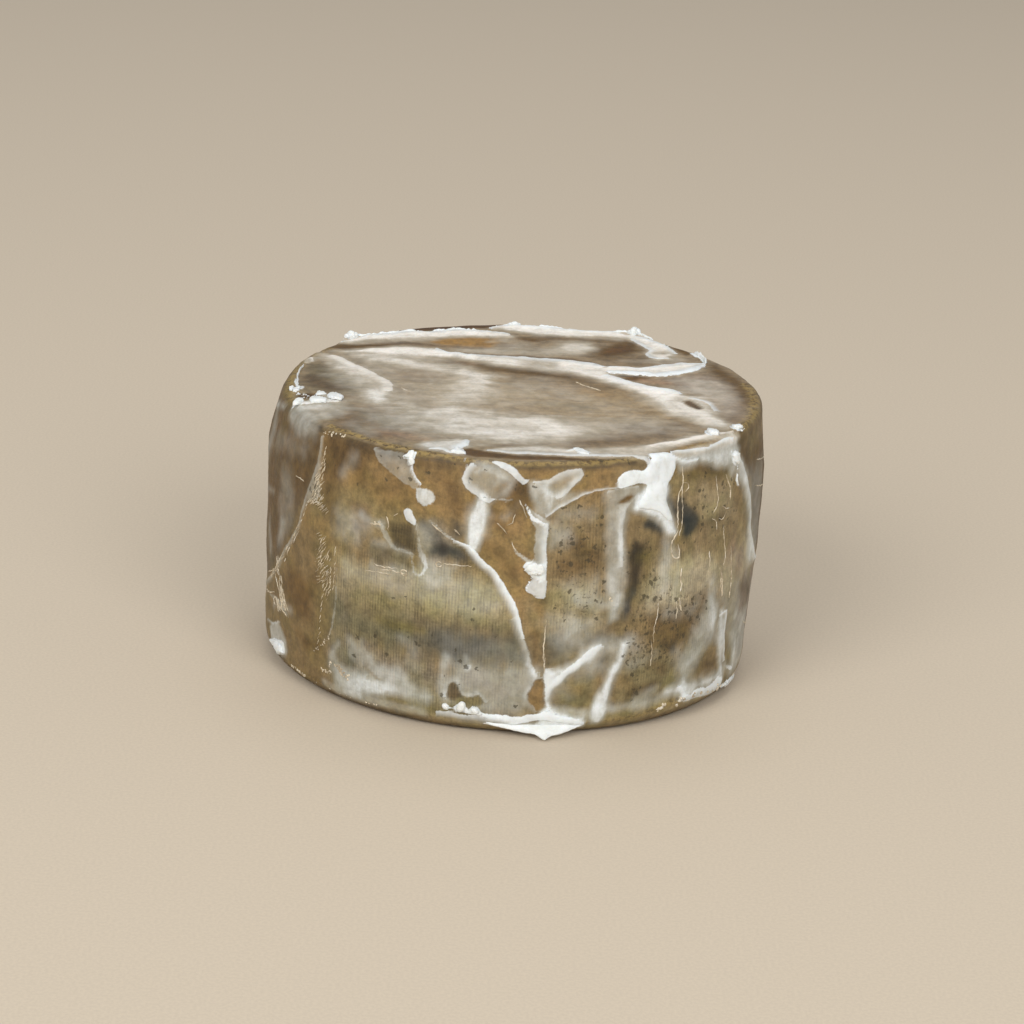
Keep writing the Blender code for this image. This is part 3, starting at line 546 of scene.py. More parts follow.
# Colour in the rind: kind, colour, strength, softness, outline or path
# painted shade: the pit in the top is not sunk into the mesh; dark plum here stands in for the shade
# inside it
# painted shadow over the foot's own dark crust: this dark band at height 0 round the front stands in
# for the contact shadow where the wheel meets the floor
# painted shadow: this dark soot line just under the left rim is the shade beneath the fold of the cloth
# the foot at the front-left and front-right made darker still: partly its dark crust and partly painted
# contact shadow
# the left panel, darker than the front: partly its own greyer rind and partly painted shade, as this
# flank turns away from the light
WASHES = shapes("side", """
# from broad to narrow, the back first
area taupe 0.8 14 92,-9 210,-9 210,115 92,115
area taupe 0.8 14 -210,-9 -98,-9 -98,115 -210,115
area stone 0.7 9 108,16 122,24 146,18 158,56 142,74 116,62
area umber 0.5 9 -166,30 -140,20 -122,50 -138,82 -160,70
area tan 0.6 8 120,84 160,82 168,98 126,99
area olive 0.5 8 -168,8 -130,6 -112,24 -160,28
line sand 0.5 8 -146,92,6 -132,70,8 -120,60,6
area ochre 0.9 6 -51,84 -40,80 -28,80 -12,78 10,80 24,84 24,104 -51,104
area bark 0.85 4 -49,86 -41,90 -36,96 -30,104 -49,104
area umber 0.6 4 -49,72 -45,72 -41,100 -49,100
line umber 0.7 3 -42,98,2.5 -38,92,3 -37,86,2
line bark 0.6 2.5 -28,98,1.5 -18,98,2 -13,98,1.5
line umber 0.4 4 -33,87,2.5 -26,86,3 -24,84,2
line umber 0.6 3 -15,93,3 -13,88,2.6 -12,84,2
area taupe 1 2 -52,104 -52.3,86 -56,71 -59,61 -62,54 -66,46 -71,39 -78,31 -96,22 -130,20 -130,104
area umber 0.45 4 -53,96 -54,84 -58,70 -64,54 -72,44 -82,36 -100,36 -100,98
line plum 0.75 4 -71,86,3 -71,79,4 -73,72,2.5
line moss 0.35 4 -70,96,4 -71,90,4
line bark 0.75 2 -53.5,95,1.6 -54.4,86,2.4 -56,78,1.2
line bark 0.45 4 -58,92,4 -60,84,4 -60,74,3
line bark 0.4 5 -78,70,4 -74,60,4 -70,52,3
area rind 0.5 3 -51,72 -44,70 -43,60 -43,20 -46,6 -62,6 -70,30 -60,52
area umber 0.75 4 -60,44 -50,46 -50,38 -52,28 -60,28 -64,36
line umber 0.7 3 -56,20,1.5 -52,18,2.5 -49,19,1.5
line ochre 0.6 4 -53,65,4 -48,66,3 -45,60,3
line tan 0.5 4 -55,52,3 -53,44,2
line amber 0.35 3 -48,66,2 -46,70,2
area tan 0.55 5 -43,82 -36,84 -30,76 -30,66 -42,62 -46,70
line ochre 0.5 3 -30,81,2 -26,83,2
area straw 1 4 -43,58 -32,57 -20,61 -11,62 -6,60 0,52 3,46 0,42 -12,42 -26,43 -42,43
area olive 0.5 4 -42,46 -24,50 -10,46 0,46 2,42 -20,40 -42,41
line moss 0.45 3 -36,50,2 -30,49,2.5 -26,46,2
line tan 0.5 4 -30,54,3 -24,52,3 -20,48,2
area ash 1 6 -43,40 -26,40 -10,41 3,39 6,30 6,27 -10,27 -26,29 -43,30
line moss 0.6 2 -30,38,1.5 -24,37,2.5 -19,37.5,1.5
line moss 0.5 2 -28,24,1.5 -24,22,2 -21,24,1.5
line slate 0.6 4 -15,34,2 -10,33,3 -4,35,2
area stone 0.9 5 -44,25 -30,27 -14,25 6,24 6,12 2,6 -44,6
area ash 0.8 3 -42,26 -38,24 -35,18 -34,15 -38,16 -42,20
line slate 0.7 2.5 -11.5,29.5,1.2 -10,27.5,1.8
area olive 0.6 4 -28,8 -12,8 0,12 2,15 -8,18 -18,14 -22,13
line moss 0.6 2 -28,7.5,1.2 -22,8.4,1.6 -15,8,1.2
line straw 0.7 1.2 -46,5,0.8 -34,5,1.2 -22,5.2,1.4 -10,4.6,1.2 0,4,0.8
line bark 0.8 1.6 -130,0,2.2 -60,0,2 0,-0.5,1.8 60,0,1.8 130,0,2.2
area amber 0.95 2 -7,88 2,88 4.5,80 5,68 4,60 5,52 8.5,51 8.8,40 7.5,38 5,40 3.6,44 -1,55 -6,65 -9.4,71
  -7,80
line umber 0.6 3 -5,70,2 -2,68,2.5 1,62,2
line umber 0.55 3 -5,84,1.6 -3,79,2 -1,76,1.4
line tan 0.7 3 5,49,1.5 5.5,43,2
line umber 0.55 3 6.6,40,1.4 7.2,32,1.6 7,28,1
line tan 0.5 3 4,52,1 6,47,1.6
line bark 0.6 3 -2,90,2 2,92,2 2.6,86,1.4
line umber 0.6 3 -38,78,2 -35,74,2.4 -37,70,2
line umber 0.5 3 -45,78,2 -44,70,2
line bark 0.6 3 1,93,2.2 2.5,91,2
area umber 1 0.7 7.2,22 9.2,23 9.9,17 10.2,10.8 8.6,10 6.6,12.6 5.4,16 5.8,18.6
area bark 0.85 0.7 -12.3,14 -12,18 -11.1,19.6 -10.3,19.2 -9.7,17 -9.1,14.6 -10.6,12.6 -12,13
area moss 0.6 0.8 -10,13.8 -8.4,13.6 -6.2,14.6 -5.4,15.6 -4.2,13.2 -4.8,11 -7.3,10.6 -9.9,11.4
area stone 0.95 3 -21,77 -16,77.4 -12,73 -12,66 -20.5,65
area ink 0.85 2.2 -17,70 -13,70.6 -10.6,69.6 -9,67.2 -9.4,65.4 -14,65.4 -19,66.4
line slate 0.6 2.4 -19.6,76,1.4 -17,73,1.6
line soot 0.6 2 -17,70,1 -14.6,69,1.6
line ink 0.7 1.8 -12.4,77.8,1.4 -11.6,74.8,1.8 -12.4,73,1
area bark 0.55 2 -28,74.5 -22,75 -21.4,66 -27,65.4
area ash 0.6 2 -33,65 -23,64.6 -22,58.5 -31,58.5 -34,61
area rind 0.6 5 9,88 20,91 22,66 22,50 10,50
area tan 0.7 4 8.5,86 13,90 17,84 16,78 8.5,78
line umber 0.7 3 13,76,2 17,70,3 18,66,2.5 12,65,3
line bark 0.5 3 15,71,1.5 19,68,2
line bark 0.7 2 8.6,52.8,1.2 11,52.4,1.6
area straw 0.75 4 9,58 14,57 20,58 21,50 20,42 9,42
line olive 0.6 2 22,46,1.2 24,45,1.4
area soot 0.95 2 28,73 31,70 31.4,66 30,60 29.6,54 28.6,50 27.4,46 26.4,47 27.4,53 27.6,60 27,66
line slate 0.75 2 26.6,44,1.2 27.6,48,1.4 28.6,53,1.6
line ink 0.9 1.6 31.4,77.6,1.4 33.4,76.4,1.4 34.8,74.6,1.2
line ink 0.9 1.6 36.2,86,1 37.6,83,1.2 38.6,80.4,1.6 39.6,78,0.8
area ink 1 1.6 40.6,76 41.4,78.6 43.6,77.6 45.4,75.4 45,71.8 43.4,69.8 41.6,70.8 41.6,74
line soot 0.6 2 43,73.6,1 45.5,74.4,1
area tan 0.8 3 37,92 44,92 49,88 49,80 41,79 40,86
area umber 0.9 0.6 23.5,86.1 24.3,88 25.6,89 27.1,89.3 28,88.6 26.6,86.4 24.8,85.9
line bark 0.7 2 43,91.5,1.4 46,93.5,1.8 50,91.5,1.6 56,88.5,1
line moss 0.5 2 44,92,1.4 51,89.8,1.4 57,87.6,1
area tan 0.6 4 46,88 57,86 59,74 56,64 44,66 44,72
area sand 0.62 5 32,56 40,60 56,60 76,62 78,44 60,43 40,46 32,46
area sand 0.3 4 46,86 58,84 60,72 50,70 46,76
line bark 0.6 2.5 46,72.6,1.4 50,72,1.8 55,73,2
line moss 0.5 3 31,66,2 33,62,2.4 33,56,1.6
area sand 0.55 4 34,64 38,66 40,58 39,50 35,50 33,56
area tan 0.8 5 41,66 66,70 67,44 56,42 42,50
area sand 0.8 4 34,58 42,62 49,61 54,54 50,47 42,44 35,46
line rose 0.45 4 60,60,4 64,52,4 65,46,2
area umber 0.6 4 35,46 42,44 48,48 52,48 51,41 46,33 40,28 35,32 33,40
line soot 0.75 2.2 38,31,1.2 40.5,30,2 41,28.4,1.6
line tan 0.5 3 44,48,2 47,51,2.5
area olive 0.85 4 27,28 34,30 42,26 43,14 34,9 27,12
line ochre 0.5 3 28,20,2 30,16,2
line bark 0.75 2 30,15,1.4 34,15.5,1.8 37,16.5,1.4
line umber 0.5 3 35,25,2 38,22,2
line bark 0.65 2.5 50.4,20.5,1.2 53,18.4,2.4 57,17,1.4
area stone 0.85 4 44,26 47,34 52,44 56,40 55,26 48,16 44,20
area olive 0.75 4 61,38 66,40 68,20 63,14
area olive 0.75 3 11,24 15,21 21,24 21.4,12 12,12
line ochre 0.5 2 12,19,1.4 17,18,2
line bark 0.6 2 19,17.4,1.2 20.4,15,1.2
area ash 0.85 3 8.8,39 13,40 14.5,34 13,28.5 9.4,27
line slate 0.75 2 22.6,29.6,1.4 21.6,27,1.2
line slate 0.5 3 16,36,1.4 22,37,2 28,36,2
area straw 0.8 2.5 10,11 24,9 40,9.4 58,9 58,3.4 10,3.4
line moss 0.5 1.4 22,6,1 30,6.6,1.2 38,6.4,1
line bark 0.75 1.6 52,8,1 56,7.6,1.8 58,7.4,1
line bark 0.6 1.2 42,8.4,0.8 46,8.2,1
area bark 0.9 3 63,100 60.5,95 65,87 69,78 71.6,66 73,58 78,50 90,44 120,42 120,104
area tan 0.6 5 66,98 80,99 90,98 90,92 74,90 67,90
line umber 0.6 4 72,90,4 78,86,4 82,80,3
line plum 0.8 3 72,68,2 74,61,2.4 78,54,2
area lilac 0.8 5 69,46 78,44 88,38 90,10 72,8 66,20 67,36
line plum 0.75 3 67,40,2 71,38,3 76,34,2.4
line umber 0.4 3 74,18,2 80,24,3 86,30,3
line sand 0.5 3 68,13,1.4 76,9,1.6 84,7,1.4
# the rim: ochre crumb along the front, moss at the sides
line moss 0.7 2 -120,102,2 -84,101.4,1.6 -72,100.8,1.2
line moss 0.8 1.6 66,101.5,1 84,103,1.4 104,103,1.6
line bark 0.95 0.9 -49,100.2,0.8 -34,100,0.8 -12,99.8,0.6 8,99.9,0.7 28,99.8,0.7
line umber 0.9 1.2 -51,103,1.4 -40,104,2 -30,103.6,1.8 -18,102.8,1.2
line bark 0.8 2 -42,99,1.6 -34,99.6,2 -26,99.6,1.6
line moss 0.9 1.2 -50,101.8,0.8 -36,101.8,1 -20,101.8,1 0,101.7,1 20,101.7,1 31,101.6,0.8
line ochre 0.8 1 -22,102.6,0.8 -8,102.2,0.9 8,102.2,0.9 22,102.2,0.8
line moss 0.8 1.4 40,102,0.6 50,102.6,1 60,102.6,1.2
# last touches over the side
area russet 0.26 8 -51.6,104 -52,92 -55,74 -62,54 -72,42 -100,30 -110,104
area russet 0.2 6 -45,4 -45,30 -50,60 -58,60 -68,40 -80,26 -80,4
line umber 0.4 3 -38,98,3 -30,98,3 -24,98,2.6
line umber 0.35 3 -4,92,2.4 0,91,3 1,84,2
area bark 0.62 2.4 -110,-2 -20,-2 -20,3.4 -44,4 -64,5 -110,6
area bark 0.4 2.4 40,-2 62,-2 62,4 40,4
area tan 0.3 4 -38,44 -28,44 -28,32 -38,32
area stone 0.3 4 -43,52 -37,52 -37,18 -43,18
area amber 0.85 0.8 6.4,19 7.6,22 9,22 9.8,15 10,11.4 8.6,10 7.2,12 6,14
line amber 0.35 3 4,66,2 6,58,2.4 7,50,2
area soot 0.45 1 -28.6,75 -22.6,75.6 -21.8,66 -26.6,65.8
line soot 0.8 0.8 -57,101.6,0.4 -54,100.6,0.6 -51.8,99.4,0.8
line bark 0.55 2.4 -40,99,2.4 -32,99,2.8 -25,98.6,2
area umber 0.75 1.6 -1.6,88 0.4,96 3,95 3.8,88 2.8,84.6 0.4,82
area sand 0.35 3 52,54 62,54 62,46 52,46
area ink 0.85 1.4 38.6,84 39.8,86 41.6,82.4 44.4,79.4 46,76 45,72.6 43,70.4 41.4,71.4 40.8,75 39.8,79.6
""") + shapes("top", """
area stone 1 4 -95,-95 95,-95 95,95 -95,95
area tan 0.6 12 -40,14 0,18 30,10 54,-10 60,-34 30,-40 0,-26 -30,-24
area taupe 0.6 8 -10,22 20,20 34,6 20,-6 0,2 -12,12
line ochre 0.5 4 14,4,3 22,0,4 30,-5,3
line bark 0.85 3 -10,22,1.4 -2,22.6,3 8,19,3 16,16.5,2.2 26,14,2
line umber 0.6 3 16,20,1.2 21,20.4,2 26,17,1.6
line bark 0.75 2.5 -34,31,1.2 -24,28.5,2.2 -16,27,2.4 -8,23,2
line umber 0.7 2.5 -24,30,1.4 -18,29,2
area umber 0.65 5 -46,20 -36,19 -24,13 -28,6 -38,4 -44,8
line bark 0.6 3 -42,8,2 -36,4,2.4 -30,4,2
line bark 0.5 3 -62,28,2 -56,20,3 -50,12,3
line umber 0.4 4 -44,-6,2.4 -38,-14,3 -34,-22,4 -32,-27,2
line umber 0.45 3 8,0,2 14,-8,2.4 20,-9,2
line ash 0.6 4 8,-17,2.4 16,-18,3 26,-20,2
area ash 0.9 4 -79,20 -74,26 -68,14 -60,2 -57,-12 -66,-14 -78,-10
line plum 0.7 4 -76,4,3 -72,-4,4 -66,-8,4
area taupe 0.9 5 -60,-26 -46,-32 -38,-44 -28,-58 -46,-66 -60,-62 -66,-44
line ash 0.5 3 -54,-36,2 -46,-46,3 -42,-54,2.4
line rose 0.5 4 -44,-58,4 -36,-62,3 -30,-66,2
area taupe 0.95 4 34,-38 50,-36 60,-34 62,-42 52,-50 44,-58 26,-62 20,-60 32,-52
line plum 0.6 3 40,-42,2.4 50,-44,3 52,-50,2
line bark 0.75 2.5 -4,-67.5,1.2 4,-64.5,2 8,-64.5,1.6
line taupe 0.8 3 16,-62,2 28,-60.5,2.4 40,-58,1.6
area bark 0.95 1 -18.6,-74 -15,-72 -9.6,-75.4 0,-77.6 12,-78 24,-79 40,-78 30,-82 0,-82.5 -17,-80
area lilac 0.8 6 54,18 66,26 76,22 82,8 82,-18 76,-32 72,-12 66,0 58,6
line rose 0.6 3 43,18,2 50,15,2.6 55,13,2
area bark 0.85 3 71,40 74,40 84,18 87,4 87,-10 81,-10 79,6 73,24
line bark 0.5 3 82,-12,2.4 79,-22,2.4 76,-30,2
area moss 0.9 1.4 85.4,-16 88,-14 86,-36 80,-42 81,-35 84,-26
area bark 0.95 4 28,50 34,62 40,70 46,66 47,56 42,48 34,44 27,44
line umber 0.5 2.5 32,52,2 40,56,2.4
area taupe 0.7 4 32,42 46,50 50,44 58,40 50,35 40,34
area taupe 0.95 3 0,68 20,71 34,70 40,64 28,64 14,66 4,62
line plum 0.7 2 8,70,1 16,70.4,1.2
line umber 0.7 2 1,65.5,1.6 5,63,1.6
line taupe 0.7 4 -6,58,3 2,55,3 8,52,3
area amber 1 2 -34,58 -28,63 -18,65 -12,63.6 -7,61.4 -10,57 -12,52.4 -29,53.5 -33.5,55
line ochre 0.6 2 -33,57.5,1 -27,60,1.6
area plum 0.9 2 -56,51.6 -52,54 -44,55.4 -36,55 -34,53 -44,51.4 -48,50
line umber 0.6 2 -34,52.4,1 -24,51.4,1 -12,51,1.4
area bark 0.95 2 -76,42 -62,45 -50,49.4 -52,51 -58,50.4 -64,49.6 -70,49
area bark 1 1.2 -64,63.5 -56,65.4 -46,70.4 -38,71.6 -30,75.4 -22,77 -12,80 -8,85.5 -30,83 -50,72
line bark 1 1.2 2,86.6,0.8 16,85,1.2 26,81.8,1.4 33,80.4,1
line bark 0.9 1.5 56,65,0.8 60,60,1.4 64,54,1.6
area umber 0.85 1.6 38,19 40,14.6 44,15.4 50,21 44,21
line slate 0.8 1.4 38,20.6,0.8 42,20,1 46,20.6,0.6
line plum 0.75 1.4 -20,41.8,0.6 -5,41.4,0.9 10,41,1 20,40,1 28,36.6,0.8
area plum 0.95 1.2 hollow
area moss 0.9 1.5 -86,24 -82,24 -82.4,8 -83,-8 -80,-26 -84,-34 -90,0
area bark 0.95 1.2 -79,-16 -76,-15 -70,-17 -70,-21 -74,-22 -79,-22.6
area ochre 0.6 2 54,-63 66,-54 76,-46 78,-50 70,-58 60,-68
""")

